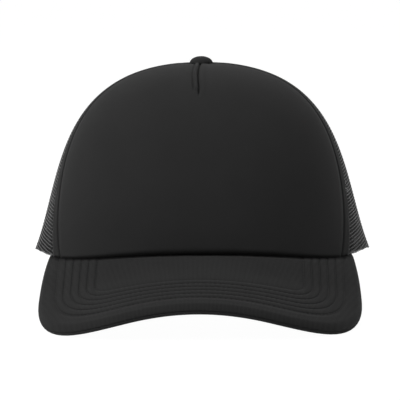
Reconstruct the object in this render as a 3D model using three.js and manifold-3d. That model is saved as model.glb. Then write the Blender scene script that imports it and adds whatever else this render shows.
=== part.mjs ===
// A five-panel trucker cap: foam front, mesh back, curved peak and a plastic snap closure.
// Millimetres. +Z is up and the wearer faces -Y, so the wearer's left is +X.
// The origin is the middle of the head opening, level with the hem at the sides.
import * as THREE from "three";
import { mergeVertices } from "three/addons/utils/BufferGeometryUtils.js";
import Module from "manifold-3d";

const wasm = await Module();
wasm.setup();

const degree = Math.PI / 180;

// Hem: an oval that is a little squarer than an ellipse.
const hemHalfWidth = 96;
const hemFrontDepth = 90;
const hemBackDepth = 92;
const hemSquareness = 2.3;

// Crown: its height and the cubic profiles at the front, side and back, from the hem to the button.
// A profile's two handles are shares of the hem radius and of the height.
const crownHeight = 107.5;
const frontHandleShares = [[0.96, 0.54], [0.7, 1]];
const sideHandleShares = [[0.827, 0.389], [0.886, 1]];
const backHandleShares = [[0.93, 0.5], [0.66, 1]];
const panelTipRadius = 3;

// Clearance between the edges of pieces that are sewn or seated together, and between layers of cloth.
const seamGap = 0.3;
const layerGap = 0.6;

// Cloth layers, from the outside in.
const frontFabricThickness = 0.8;
const frontFoamThickness = 3;
const meshThickness = 1;
const tapeThickness = 0.7;
const tapeWidth = 12;
const bandThickness = 1.2;
const bandHeight = 30;

// Net: a plain grid of openings stands for its fine holes. The cloth stays whole along its edges.
// The margins are shares of a panel's width and height, and a bar is a share of a cell.
const netColumns = 6;
const netRows = 8;
const netBarShare = 0.28;
const netSideShare = 0.08;
const netFootShare = 0.0625;
const netHeadShare = 0.2;

// Seams: the front seams leave the button sideways, run down in front of the ears and curve forward
// to the ends of the peak.
const frontSeamAtHem = 57 * degree;
const frontSeamAtSide = 76 * degree;
const frontSeamAtTop = 90 * degree;
const frontSeamSweep = 3;
const dartLength = 58;
const dartWidth = 1.6;
const tapeTipRadius = 17;
const foamTipRadius = 9;

// Peak: half width, plan length, the radii of its outline and of its arch, and its layers.
const peakEndAzimuth = 60.5 * degree;
const peakEndFade = 4 * degree;
const peakFlare = 2.85;
const peakLength = 70;
const peakCornerRadius = 68.5;
const peakFrontRadius = 157;
const peakRise = 8.5;
const peakSlopeShare = 0.29;
const peakFrontArchRadius = 102.5;
const peakTopThickness = 0.9;
const peakFoamThickness = 0.8;
const peakBoardThickness = 1.5;
const peakUnderThickness = 0.8;
const peakLayerGap = 0.4;
const peakEdgeRadius = 3.2;
const peakCoreInset = 3.6;

// Back opening and the tape that binds its edge.
const openingHalfWidth = 40.5;
const openingHeight = 52;
const openingSquareness = 2.3;
const openingClearance = 1;
const bindingThickness = 0.9;
const bindingLeg = 8;

// Snap closure: two straps that overlap behind the head, one with holes and one with studs.
const strapHeight = 18;
const strapThickness = 1.4;
const strapFootHeight = 2;
const strapTipRadius = 6;
const snapPitch = 8;
const snapCount = 7;
const snapsEngaged = 5;
const snapHoleRadius = 2.1;
const collarWidth = 1.2;
const collarHeight = 0.4;
const studNeckRadius = 1.2;
const studHeadRadius = 1.45;
const studStandOut = 0.6;
const strapTipMargin = 5;
const strapRootMargin = 3.6;
const strapRampLength = 13;
const tabLength = 16;

// Button on the crown.
const buttonRadius = 6.2;
const buttonHeight = 3.9;
const buttonSkin = 0.7;
const buttonMetal = 0.6;
const shankRadius = 1.3;
const washerRadius = 5.5;
const washerThickness = 0.8;
const clinchRadius = 2.4;

// How finely the forms are divided.
const crownRows = 16;
const frontColumns = 22;
const foamColumns = 20;
const netHeadRows = 3;
const roundSteps = 12;
const archSteps = 24;
const bandSteps = 42;
const bandRows = 3;
const peakSideSteps = 4;
const peakCornerSteps = 9;
const peakFrontSteps = 4;
const peakDepthSteps = 4;
const strapSteps = 16;
const strapEndSteps = 3;
const strapRows = 2;
const tabSteps = 5;
const domeSteps = 5;
const studDomeSteps = 3;
const halvings = 30;
const approaches = 8;
const edgeStepShares = [0, 0.1, 0.35, 1];
const lowestClimbShare = -0.1;
const overrun = 5;
const nudge = 1e-3;

const mix = THREE.MathUtils.lerp;
const ease = THREE.MathUtils.smoothstep;
const clamp = THREE.MathUtils.clamp;
const range = (count) => Array.from({ length: count + 1 }, (_, i) => i / count);

// A closed body from a list of triangle corners.
function closedGeometry(corners) {
  const loose = new THREE.BufferGeometry().setFromPoints(corners);
  const merged = mergeVertices(loose, nudge);
  const kept = [];
  for (let i = 0; i < merged.index.count; i += 3) {
    const [a, b, c] = merged.index.array.slice(i, i + 3);
    if (a !== b && b !== c && c !== a) kept.push(a, b, c);
  }
  merged.setIndex(kept);
  return merged;
}

// A closed sheet between two grids of points, grid[column][row], with the cells that are open left out.
// Columns run anticlockwise seen from above, rows run up.
function sheetGeometry(face, back, isOpen = () => false) {
  const corners = [];
  const quad = (a, b, c, d) => corners.push(a, b, d, b, c, d);
  const footRim = (i, j) => quad(back[i][j], back[i + 1][j], face[i + 1][j], face[i][j]);
  const headRim = (i, j) => quad(face[i][j], face[i + 1][j], back[i + 1][j], back[i][j]);
  const startRim = (i, j) => quad(back[i][j], face[i][j], face[i][j + 1], back[i][j + 1]);
  const endRim = (i, j) => quad(back[i][j], back[i][j + 1], face[i][j + 1], face[i][j]);
  const lastColumn = face.length - 1;
  const lastRow = face[0].length - 1;
  for (let i = 0; i < lastColumn; i++) {
    for (let j = 0; j < lastRow; j++) {
      if (isOpen(i, j)) {
        headRim(i, j);
        footRim(i, j + 1);
        endRim(i, j);
        startRim(i + 1, j);
      } else {
        quad(face[i][j], face[i + 1][j], face[i + 1][j + 1], face[i][j + 1]);
        quad(back[i][j], back[i][j + 1], back[i + 1][j + 1], back[i + 1][j]);
      }
    }
    footRim(i, 0);
    headRim(i, lastRow);
  }
  for (let j = 0; j < lastRow; j++) {
    startRim(0, j);
    endRim(lastColumn, j);
  }
  return closedGeometry(corners);
}

// A closed bar through rings of points, with triangles of ring places that close each end.
function barGeometry(rings, endFaces) {
  const corners = [];
  const around = rings[0].length;
  for (let i = 0; i + 1 < rings.length; i++) {
    for (let k = 0; k < around; k++) {
      const [a, b] = [rings[i][k], rings[i][(k + 1) % around]];
      const [d, c] = [rings[i + 1][k], rings[i + 1][(k + 1) % around]];
      corners.push(a, b, c, a, c, d);
    }
  }
  const last = rings[rings.length - 1];
  for (const [a, b, c] of endFaces) {
    corners.push(rings[0][a], rings[0][c], rings[0][b], last[a], last[b], last[c]);
  }
  return closedGeometry(corners);
}

// The same body on the other side of the cap, with its faces turned outwards again.
function mirrored(geometry) {
  const copy = geometry.clone().scale(-1, 1, 1);
  copy.setIndex(Array.from(copy.index.array).reverse());
  return copy;
}

// three.js geometry to a solid that can be joined and cut, and back.
function toSolid(geometry) {
  const bare = new THREE.BufferGeometry();
  bare.setAttribute("position", geometry.getAttribute("position").clone());
  bare.setIndex(geometry.index ? geometry.index.clone() : null);
  const merged = mergeVertices(bare, nudge);
  const vertProperties = merged.attributes.position.array;
  const triVerts = new Uint32Array(merged.index.array);
  return new wasm.Manifold(new wasm.Mesh({ numProp: 3, vertProperties, triVerts }));
}

function toGeometry(solid) {
  const mesh = solid.getMesh();
  const geometry = new THREE.BufferGeometry();
  geometry.setAttribute("position", new THREE.BufferAttribute(mesh.vertProperties, mesh.numProp));
  geometry.setIndex(new THREE.BufferAttribute(mesh.triVerts, 1));
  return geometry;
}

function cut(geometry, tools) {
  return toGeometry(tools.reduce((solid, tool) => solid.subtract(toSolid(tool)), toSolid(geometry)));
}

function join(geometries) {
  return toGeometry(geometries.map(toSolid).reduce((solid, next) => solid.add(next)));
}

// The hem's radius at an azimuth, which is 0 at the front and grows towards the wearer's left.
function hemRadius(azimuth) {
  const depth = Math.cos(azimuth) > 0 ? hemFrontDepth : hemBackDepth;
  const across = Math.abs(Math.sin(azimuth)) / hemHalfWidth;
  const along = Math.abs(Math.cos(azimuth)) / depth;
  return (across ** hemSquareness + along ** hemSquareness) ** (-1 / hemSquareness);
}

function hemPlan(azimuth, inset = 0) {
  const radius = hemRadius(azimuth) - inset;
  return new THREE.Vector2(radius * Math.sin(azimuth), -radius * Math.cos(azimuth));
}

// The peak's top face: it falls forward in a straight line and arches across, more at the front.
const peakEnd = hemPlan(peakEndAzimuth);
const peakFrontY = -hemFrontDepth - peakLength;
const peakRootBend = (2 * (peakRise + peakSlopeShare * (peakEnd.y + hemFrontDepth))) / peakEnd.x ** 2;

function peakTop(x, y) {
  const reach = clamp((y - peakEnd.y) / (peakFrontY - peakEnd.y), 0, 1);
  const bend = mix(peakRootBend, 1 / peakFrontArchRadius, reach);
  return peakRise + peakSlopeShare * (y + hemFrontDepth) - (bend * x * x) / 2;
}

// The height of the crown's lower edge: level at the sides and back, and lifted by the peak at the front.
function hemLevel(x, y) {
  const beyond = Math.abs(Math.atan2(x, -y)) - peakEndAzimuth;
  if (beyond > peakEndFade) return 0;
  return Math.max(0, peakTop(x, y)) * (1 - clamp(beyond / peakEndFade, 0, 1));
}

// A point of the crown's outer face. Climb is 0 at the hem and 1 under the button.
function outerPoint(azimuth, climb) {
  const front = Math.max(Math.cos(azimuth), 0) ** 2;
  const back = Math.max(-Math.cos(azimuth), 0) ** 2;
  const side = Math.sin(azimuth) ** 2;
  const share = (handle, axis) =>
    front * frontHandleShares[handle][axis] +
    side * sideHandleShares[handle][axis] +
    back * backHandleShares[handle][axis];
  const rest = 1 - climb;
  const [first, second] = [3 * rest * rest * climb, 3 * rest * climb * climb];
  const radius = hemRadius(azimuth) * (rest ** 3 + first * share(0, 0) + second * share(1, 0));
  const rise = first * share(0, 1) + second * share(1, 1) + climb ** 3;
  const plan = hemPlan(azimuth);
  const foot = hemLevel(plan.x, plan.y);
  return new THREE.Vector3(
    radius * Math.sin(azimuth),
    -radius * Math.cos(azimuth),
    foot + (crownHeight - foot) * rise,
  );
}

function crownNormal(azimuth, climb) {
  const around = outerPoint(azimuth + nudge, climb).sub(outerPoint(azimuth - nudge, climb));
  const up = outerPoint(azimuth, climb + nudge).sub(outerPoint(azimuth, climb - nudge));
  return around.cross(up).normalize();
}

// A point under the crown's outer face, measured square to it.
function crownPoint(azimuth, climb, inset) {
  return outerPoint(azimuth, climb).addScaledVector(crownNormal(azimuth, climb), -inset);
}

// The climb at which a rising measure of the crown reaches a value.
function climbWhere(measure, value) {
  let [low, high] = [lowestClimbShare, 1 - nudge];
  for (let i = 0; i < halvings; i++) {
    const middle = (low + high) / 2;
    if (measure(middle) < value) low = middle;
    else high = middle;
  }
  return (low + high) / 2;
}

function climbAtHeight(azimuth, height, inset) {
  return climbWhere((climb) => crownPoint(azimuth, climb, inset).z, height);
}

// Edges of a crown sheet, each a climb for an azimuth: near the hem, at a height, or round the button.
function hemEdge(lift) {
  return (azimuth, inset) => {
    const measure = (climb) => {
      const point = crownPoint(azimuth, climb, inset);
      return point.z - hemLevel(point.x, point.y);
    };
    return climbWhere(measure, lift);
  };
}

function levelEdge(height) {
  return (azimuth, inset) => climbAtHeight(azimuth, height, inset);
}

function tipEdge(radius) {
  return (azimuth, inset) => {
    const measure = (climb) => {
      const point = crownPoint(azimuth, climb, inset);
      return -Math.hypot(point.x, point.y);
    };
    return climbWhere(measure, -radius);
  };
}

// Seam lines: the azimuth of each seam at a climb.
function frontSeam(climb) {
  const share = clamp(climb, 0, 1);
  const low = mix(frontSeamAtHem, frontSeamAtSide, 1 - (1 - share) ** frontSeamSweep);
  return mix(low, frontSeamAtTop, share ** frontSeamSweep);
}
const rearSeam = (climb) => (frontSeam(climb) + Math.PI) / 2;
const backSeam = () => Math.PI;
const oppositeSeam = (climb) => -frontSeam(climb);

// A grid of points between two seams, at a depth under the crown's outer face.
// Across and up are shares of its width and height. A margin is the distance that it keeps from its seam.
const wholePanel = { foot: hemEdge(0), head: tipEdge(panelTipRadius), up: range(crownRows) };

function crownGrid({ from, to, margins, across, up, foot, head }, inset) {
  return across.map((u) =>
    up.map((v) => {
      const middle = (from(v) + to(v)) / 2;
      const climb = mix(foot(middle, inset), head(middle, inset), v);
      const nominal = outerPoint(middle, climb);
      const radius = Math.hypot(nominal.x, nominal.y);
      const azimuth = mix(from(climb) + margins[0] / radius, to(climb) - margins[1] / radius, u);
      return crownPoint(azimuth, mix(foot(azimuth, inset), head(azimuth, inset), v), inset);
    }),
  );
}

function crownSheet(panel, insets) {
  return sheetGeometry(crownGrid(panel, insets[0]), crownGrid(panel, insets[1]));
}

// Front panel: face fabric over its foam, with the short dart that rounds its top.
const halfSeam = seamGap / 2;
const foamInset = frontFabricThickness + layerGap;
const frontStack = foamInset + frontFoamThickness;
const foamMargin = tapeWidth / 2 + seamGap;

function dartTool() {
  const wedge = new THREE.Shape([
    new THREE.Vector2(-dartWidth / 2, 0),
    new THREE.Vector2(0, -dartLength),
    new THREE.Vector2(dartWidth / 2, 0),
  ]);
  const block = new THREE.ExtrudeGeometry(wedge, { depth: crownHeight, bevelEnabled: false });
  return block.translate(0, 0, crownHeight / 2);
}

function frontLayer(margin, insets, tip, columns) {
  const margins = [margin, margin];
  const seams = { from: oppositeSeam, to: frontSeam, margins, across: range(columns) };
  return cut(crownSheet({ ...wholePanel, ...seams, head: tipEdge(tip) }, insets), [dartTool()]);
}

// Back opening: an arch over the strap, drawn on the upright plane behind the head.
const openingOutline = (turn, grow) => {
  const power = 2 / openingSquareness;
  const x = Math.sign(Math.cos(turn)) * Math.abs(Math.cos(turn)) ** power;
  const z = Math.sin(turn) ** power;
  return new THREE.Vector2(x * (openingHalfWidth + grow), z * (openingHeight + grow));
};

function openingTool(grow) {
  const outline = range(archSteps).map((u) => openingOutline(u * Math.PI, grow));
  const halfWidth = openingHalfWidth + grow;
  const below = [new THREE.Vector2(-halfWidth, -overrun), new THREE.Vector2(halfWidth, -overrun)];
  const shape = new THREE.Shape([...outline, ...below]);
  const block = new THREE.ExtrudeGeometry(shape, { depth: hemBackDepth, bevelEnabled: false });
  return block.rotateX(90 * degree).translate(0, hemBackDepth + hemBackDepth / 2, 0);
}

// Places of the edges of a row of openings, with bars between them and a whole margin at each end.
function openingPlaces(count, start, end) {
  const pitch = (1 - start - end) / (count - netBarShare);
  const edges = range(count - 1).flatMap((u) => {
    const near = start + u * (count - 1) * pitch;
    return [near, near + pitch * (1 - netBarShare)];
  });
  return [0, ...edges, 1];
}

// Whether a place lies under the tape that binds the back opening.
function isBound(point) {
  const across = Math.abs(point.x) / (openingHalfWidth + bindingLeg + openingClearance);
  const up = Math.max(point.z, 0) / (openingHeight + bindingLeg + openingClearance);
  return point.y > 0 && across ** openingSquareness + up ** openingSquareness < 1;
}

// Mesh panels: two at the sides and two behind, the rear pair cut by the back opening.
function meshPanel(from, to) {
  const rows = openingPlaces(netRows, netFootShare, netHeadShare);
  const headRows = range(netHeadRows).map((v) => mix(1 - netHeadShare, 1, v));
  const across = openingPlaces(netColumns, netSideShare, netSideShare);
  const up = [...rows.slice(0, -2), ...headRows];
  const panel = { ...wholePanel, from, to, margins: [halfSeam, halfSeam], across, up };
  const face = crownGrid(panel, 0);
  const isOpen = (i, j) => {
    const isCell = i % 2 === 1 && j % 2 === 1 && j < 2 * netRows;
    const cell = [face[i][j], face[i + 1][j], face[i][j + 1], face[i + 1][j + 1]];
    return isCell && !cell.some(isBound);
  };
  return sheetGeometry(face, crownGrid(panel, meshThickness), isOpen);
}

// Seam tapes run inside the crown, over the joined edges.
const tapeInset = meshThickness + layerGap;

function seamTape(seam, foot) {
  const margins = [-tapeWidth / 2, -tapeWidth / 2];
  const edges = { from: seam, to: seam, margins, foot, head: tipEdge(tapeTipRadius) };
  const panel = { ...wholePanel, ...edges, across: [0, 1 / 2, 1] };
  return crownSheet(panel, [tapeInset, tapeInset + tapeThickness]);
}

// Binding: a folded tape round the edge of the back opening.
// A point behind the head at a distance across, a height and a depth under the crown's outer face.
function pointBehind(across, height, inset) {
  let azimuth = Math.PI - Math.asin(across / hemBackDepth);
  let point;
  for (let i = 0; i < approaches; i++) {
    point = crownPoint(azimuth, climbAtHeight(azimuth, height, inset), inset);
    azimuth += (across - point.x) / Math.hypot(point.x, point.y) / Math.cos(azimuth);
  }
  return point;
}

function backBinding() {
  const insets = [-layerGap - bindingThickness, -layerGap, tapeInset, tapeInset + bindingThickness];
  const reaches = [-bindingThickness, 0, bindingLeg];
  const section = [[1, 2], [0, 2], [0, 0], [3, 0], [3, 2], [2, 2], [2, 1], [1, 1]];
  const endFaces = [[0, 1, 2], [0, 2, 7], [7, 2, 3], [7, 3, 6], [6, 3, 4], [6, 4, 5]];
  const rings = range(archSteps).map((u) =>
    section.map(([layer, reach]) => {
      const edge = openingOutline(u * Math.PI, reaches[reach]);
      return pointBehind(edge.x, Math.max(edge.y, 0), insets[layer]);
    }),
  );
  return barGeometry(rings, endFaces);
}

// Sweatband: it lies on the foam in front, on the tapes at the sides and over the strap tabs behind.
const tabInset = tapeInset + bindingThickness + layerGap;
const bandBackInset = tabInset + strapThickness + layerGap;
const bandFrontInset = frontStack + layerGap + halfSeam;
const bandSideInset = tapeInset + tapeThickness + layerGap;
const bandEase = bandHeight / hemHalfWidth;
const bandEnd = Math.PI - (openingHalfWidth + openingClearance) / hemBackDepth;
const tabEnd = Math.PI - (openingHalfWidth + tabLength) / hemBackDepth;
const foamEnd = frontSeam(bandHeight / crownHeight);

function bandInset(azimuth) {
  const turn = Math.abs(azimuth);
  const front = 1 - ease(turn, foamEnd, foamEnd + bandEase);
  const back = ease(turn, tabEnd - bandEase, tabEnd);
  return bandSideInset + front * (bandFrontInset - bandSideInset) + back * (bandBackInset - bandSideInset);
}

function sweatband() {
  const grid = (depth) =>
    range(bandSteps).map((u) => {
      const azimuth = mix(-bandEnd, bandEnd, u);
      const inset = bandInset(azimuth) + depth;
      const edge = crownPoint(azimuth, 0, inset);
      const foot = hemLevel(edge.x, edge.y) / 2;
      return range(bandRows).map((v) => {
        const height = foot + v * bandHeight;
        return crownPoint(azimuth, climbAtHeight(azimuth, height, inset), inset);
      });
    });
  return sheetGeometry(grid(0), grid(bandThickness));
}

// Peak outline in plan, from the wearer's left end round the front to the right end, moved in by an inset.
const peakHalfWidth = peakEnd.x + peakFlare;
const peakLayers = [peakUnderThickness, peakBoardThickness, peakFoamThickness, peakTopThickness];
const peakThickness = peakLayers.reduce((sum, layer) => sum + layer + peakLayerGap, -peakLayerGap);
const peakRootInset = frontStack - layerGap;

function peakOutline(inset) {
  const width = peakHalfWidth - inset;
  const corner = peakCornerRadius - inset;
  const frontCentreY = peakFrontY + peakFrontRadius;
  const cornerX = peakHalfWidth - peakCornerRadius;
  const cornerY = frontCentreY - Math.sqrt((peakFrontRadius - peakCornerRadius) ** 2 - cornerX ** 2);
  const turn = Math.atan2(cornerY - frontCentreY, cornerX);
  const side = range(peakSideSteps).map((u) => {
    const x = mix(peakEnd.x - inset, width, Math.sin(u * 90 * degree));
    return new THREE.Vector2(x, mix(peakEnd.y, cornerY, u));
  });
  const round = range(peakCornerSteps).map((u) => {
    const angle = u * turn;
    return new THREE.Vector2(cornerX + corner * Math.cos(angle), cornerY + corner * Math.sin(angle));
  });
  const front = range(peakFrontSteps).map((u) => {
    const angle = mix(turn, -90 * degree, u);
    const radius = peakFrontRadius - inset;
    return new THREE.Vector2(radius * Math.cos(angle), frontCentreY + radius * Math.sin(angle));
  });
  const left = [...side, ...round.slice(1), ...front.slice(1)];
  const right = left.slice(0, -1).reverse();
  return [...left, ...right.map((point) => new THREE.Vector2(-point.x, point.y))];
}

function distanceToLine(point, line) {
  const nearest = new THREE.Vector3();
  const target = new THREE.Vector3(point.x, point.y, 0);
  let least = Infinity;
  for (let i = 0; i + 1 < line.length; i++) {
    const [a, b] = [line[i], line[i + 1]];
    const segment = new THREE.Line3(new THREE.Vector3(a.x, a.y, 0), new THREE.Vector3(b.x, b.y, 0));
    segment.closestPointToPoint(target, true, nearest);
    least = Math.min(least, nearest.distanceTo(target));
  }
  return least;
}

// One face of a peak layer, from under the crown to the outline, at a height over its middle surface.
// Near the outline the face curves to the middle surface, in a quarter ellipse as wide as the rounding.
function peakFace(inset, height, rounding) {
  const outline = peakOutline(inset);
  const edgeSteps = rounding ? edgeStepShares.map((share) => share * rounding) : [0];
  return outline.map((edge, i) => {
    const root = hemPlan(mix(peakEndAzimuth, -peakEndAzimuth, i / (outline.length - 1)), peakRootInset);
    const length = root.distanceTo(edge);
    const flat = 1 - edgeSteps.at(-1) / length;
    const places = range(peakDepthSteps).slice(0, -1).map((share) => share * flat);
    const roundPlaces = edgeSteps.map((distance) => 1 - distance / length).reverse();
    return [...places, ...roundPlaces].map((place) => {
      const plan = root.clone().lerp(edge, place);
      const depth = rounding ? Math.min(1, distanceToLine(plan, outline) / rounding) : 1;
      const middle = peakTop(plan.x, plan.y) - seamGap - peakThickness / 2;
      return new THREE.Vector3(plan.x, plan.y, middle + height * Math.sqrt(1 - (1 - depth) ** 2));
    });
  });
}

const halfPeak = peakThickness / 2;
const raised = (point, rise) => point.clone().setZ(point.z + rise);
const lifted = (grid, rise) => grid.map((column) => column.map((point) => raised(point, rise)));

// Top and under covers meet half way down the peak's rounded edge.
function peakCover(side, thickness) {
  const outer = lifted(peakFace(0, side * (halfPeak - halfSeam), peakEdgeRadius), side * halfSeam);
  const inner = lifted(
    peakFace(thickness, side * (halfPeak - halfSeam - thickness), peakEdgeRadius - thickness),
    side * halfSeam,
  );
  return side > 0 ? sheetGeometry(outer, inner) : sheetGeometry(inner, outer);
}

function peakPlate(low, thickness) {
  return sheetGeometry(peakFace(peakCoreInset, low + thickness), peakFace(peakCoreInset, low));
}
const boardLow = -halfPeak + peakUnderThickness + peakLayerGap;
const peakFoamLow = boardLow + peakBoardThickness + peakLayerGap;

// Straps: a point at a distance along the back from its middle, positive to the wearer's left.
const strapAzimuth = (along) => Math.PI - along / hemBackDepth;
const strapMiddle = strapFootHeight + strapHeight / 2;

function strapPoint(along, height, inset) {
  const azimuth = strapAzimuth(along);
  return crownPoint(azimuth, climbAtHeight(azimuth, height, inset), inset);
}

const lastSnap = ((snapsEngaged - 1) / 2) * snapPitch;
const strapTip = lastSnap + strapTipMargin;
const hingeAlong = openingHalfWidth - bindingThickness - strapRootMargin + strapThickness / 2;
const hingeInset = tabInset + strapThickness / 2;
const rampStart = hingeAlong - strapThickness;
const outerRun = halfSeam;
const innerRun = outerRun + strapThickness + seamGap;
const snapPlaces = range(snapCount - 1).map((u) => -lastSnap + u * (snapCount - 1) * snapPitch);

const runInset = (along, run) => mix(run, hingeInset, ease(along, rampStart - strapRampLength, rampStart));

// A strap from its bend to its tip. Run is the depth of its middle surface once it is clear of the bend.
function strapBar(side, run) {
  const knuckle = strapThickness / 2;
  const tipEnd = -strapTip;
  const stations = [
    ...range(strapEndSteps).map((u) => tipEnd + strapTipRadius * (1 - Math.cos(u * 90 * degree))),
    ...range(strapSteps).slice(1).map((u) => mix(tipEnd + strapTipRadius, hingeAlong, u)),
    ...range(strapEndSteps).slice(1).map((u) => hingeAlong + knuckle * Math.sin(u * 90 * degree)),
  ];
  const grid = (face) =>
    stations.map((along) => {
      const beyond = clamp((along - hingeAlong) / knuckle, 0, 1);
      const half = knuckle * Math.sqrt(1 - beyond ** 2);
      const fromTip = clamp((along - tipEnd) / strapTipRadius, 0, 1);
      const trim = strapTipRadius * (1 - Math.sqrt(1 - (1 - fromTip) ** 2));
      return range(strapRows).map((v) => {
        const height = strapMiddle + (2 * v - 1) * (strapHeight / 2 - trim);
        return strapPoint(side * along, height, runInset(along, run) - face * half);
      });
    });
  const [face, back] = [grid(1), grid(-1)];
  return side > 0 ? sheetGeometry(face.reverse(), back.reverse()) : sheetGeometry(face, back);
}

// A round feature standing square on a strap, made about its own axis and turned to point outwards.
function onStrap(geometry, along, inset) {
  const azimuth = strapAzimuth(along);
  const climb = climbAtHeight(azimuth, strapMiddle, inset);
  const upright = new THREE.Vector3(0, 1, 0);
  const turn = new THREE.Quaternion().setFromUnitVectors(upright, crownNormal(azimuth, climb));
  const place = crownPoint(azimuth, climb, inset);
  return geometry.applyQuaternion(turn).translate(place.x, place.y, place.z);
}

function holeStrap() {
  const collars = snapPlaces.map((along) => {
    const radius = snapHoleRadius + collarWidth;
    const collar = new THREE.CylinderGeometry(radius - collarHeight, radius, strapThickness, roundSteps);
    return onStrap(collar, along, runInset(along, outerRun) - collarHeight);
  });
  const holes = snapPlaces.map((along) => {
    const drill = new THREE.CylinderGeometry(snapHoleRadius, snapHoleRadius, 2 * overrun, roundSteps);
    return onStrap(drill, along, runInset(along, outerRun));
  });
  return cut(join([strapBar(1, outerRun), ...collars]), holes);
}

function studStrap() {
  const height = strapThickness / 2 + seamGap + strapThickness + studStandOut;
  const waist = height - studHeadRadius;
  const head = range(studDomeSteps).slice(0, -1).map((u) => {
    const turn = u * 90 * degree;
    return new THREE.Vector2(studHeadRadius * Math.cos(turn), waist + studHeadRadius * Math.sin(turn));
  });
  const neck = [new THREE.Vector2(studNeckRadius, 0), new THREE.Vector2(studNeckRadius, waist - seamGap)];
  const profile = [new THREE.Vector2(0, 0), ...neck, ...head, new THREE.Vector2(0, height)];
  const studs = snapPlaces.map((along) => {
    return onStrap(new THREE.LatheGeometry(profile, roundSteps), -along, runInset(along, innerRun));
  });
  return join([strapBar(-1, innerRun), ...studs]);
}

// A tab is the sewn end of a strap, held between the mesh and the sweatband.
function strapTab(side) {
  const start = hingeAlong + strapThickness / 2 + seamGap;
  const end = openingHalfWidth + tabLength;
  const grid = (inset) => {
    const columns = range(tabSteps).map((u) =>
      range(strapRows).map((v) => {
        return strapPoint(side * mix(start, end, u), strapFootHeight + v * strapHeight, inset);
      }),
    );
    return side > 0 ? columns.reverse() : columns;
  };
  return sheetGeometry(grid(tabInset), grid(tabInset + strapThickness));
}

// Button: a cloth cover over a metal cap whose shank is clinched under a washer inside the crown.
function onCrown(points) {
  const profile = points.map(([radius, height]) => new THREE.Vector2(radius, height));
  const turned = new THREE.LatheGeometry(profile, roundSteps);
  return turned.rotateX(90 * degree).translate(0, 0, crownHeight);
}

function dome(radius, low, high, reverse) {
  const points = range(domeSteps).map((u) => {
    const turn = u * 90 * degree;
    return [radius * Math.cos(turn), low + (high - low) * Math.sin(turn)];
  });
  return reverse ? points.reverse() : points;
}
const buttonFoot = seamGap;
const washerInset = meshThickness + layerGap;
const rimHeight = buttonHeight / 3;

function buttonCover() {
  const inner = buttonRadius - buttonSkin;
  const outerDome = dome(buttonRadius, buttonFoot + rimHeight, buttonHeight, false);
  const innerDome = dome(inner, buttonFoot + rimHeight, buttonHeight - buttonSkin, true);
  const lip = inner - rimHeight;
  const rim = [[lip + buttonSkin, buttonFoot + buttonSkin], [lip, buttonFoot], [inner, buttonFoot]];
  const profile = [...innerDome, ...rim, ...outerDome];
  profile[0][0] = 0;
  profile[profile.length - 1][0] = 0;
  return onCrown(profile);
}

function buttonCap() {
  const radius = buttonRadius - buttonSkin - seamGap;
  const top = buttonHeight - buttonSkin - seamGap;
  const low = buttonFoot + rimHeight;
  const under = -(washerInset + washerThickness + seamGap);
  const hollow = dome(radius - buttonMetal, low, top - buttonMetal, true);
  const innerDome = hollow.filter(([x]) => x > shankRadius);
  const profile = [
    [0, under - washerThickness],
    [clinchRadius, under - washerThickness],
    [clinchRadius, under - seamGap],
    [shankRadius, under - seamGap],
    [shankRadius, top - 2 * buttonMetal],
    ...innerDome,
    ...dome(radius, low, top, false),
  ];
  profile[profile.length - 1][0] = 0;
  return onCrown(profile);
}

function buttonWasher() {
  const inner = shankRadius + seamGap;
  const top = -washerInset;
  const low = top - washerThickness;
  return onCrown([[inner, low], [washerRadius, low], [washerRadius, top], [inner, top], [inner, low]]);
}

// Finishes
function finish(color, roughness, metalness = 0) {
  return new THREE.MeshStandardMaterial({ color, roughness, metalness });
}
const faceCloth = finish(0x2b2b2b, 0.85);
const foamBacking = finish(0x1c1c1c, 0.95);
const netCloth = finish(0x202020, 0.5);
const tapeCloth = finish(0x1e1e1e, 0.9);
const bandCloth = finish(0x242424, 0.92);
const moulded = finish(0x161616, 0.35);
const boardPlastic = finish(0xd8d8d4, 0.6);
const steel = finish(0xa8a8a8, 0.4, 0.9);

const cap = new THREE.Group();

function add(name, geometry, material) {
  const mesh = new THREE.Mesh(geometry, material);
  mesh.name = name;
  cap.add(mesh);
}

const aboveOpening = levelEdge(openingHeight + bindingLeg + openingClearance);
const sideMesh = meshPanel(frontSeam, rearSeam);
const backMesh = cut(meshPanel(rearSeam, backSeam), [openingTool(seamGap)]);
const frontTape = seamTape(frontSeam, hemEdge(seamGap));
const rearTape = seamTape(rearSeam, hemEdge(seamGap));

const fabric = frontLayer(halfSeam, [0, frontFabricThickness], panelTipRadius, frontColumns);
const foam = frontLayer(foamMargin, [foamInset, frontStack], foamTipRadius, foamColumns);

add("front_panel_fabric", fabric, faceCloth);
add("front_panel_foam", foam, foamBacking);
add("left_side_mesh", sideMesh, netCloth);
add("right_side_mesh", mirrored(sideMesh), netCloth);
add("left_back_mesh", backMesh, netCloth);
add("right_back_mesh", mirrored(backMesh), netCloth);
add("left_front_seam_tape", frontTape, tapeCloth);
add("right_front_seam_tape", mirrored(frontTape), tapeCloth);
add("left_rear_seam_tape", rearTape, tapeCloth);
add("right_rear_seam_tape", mirrored(rearTape), tapeCloth);
add("centre_back_seam_tape", seamTape(backSeam, aboveOpening), tapeCloth);
add("back_opening_binding", backBinding(), tapeCloth);
add("sweatband", sweatband(), bandCloth);
add("peak_top_cover", peakCover(1, peakTopThickness), faceCloth);
add("peak_foam", peakPlate(peakFoamLow, peakFoamThickness), foamBacking);
add("peak_board", peakPlate(boardLow, peakBoardThickness), boardPlastic);
add("peak_under_cover", peakCover(-1, peakUnderThickness), faceCloth);
add("hole_strap", holeStrap(), moulded);
add("hole_strap_tab", strapTab(1), moulded);
add("stud_strap", studStrap(), moulded);
add("stud_strap_tab", strapTab(-1), moulded);
add("button_cover", buttonCover(), faceCloth);
add("button_cap", buttonCap(), steel);
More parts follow.
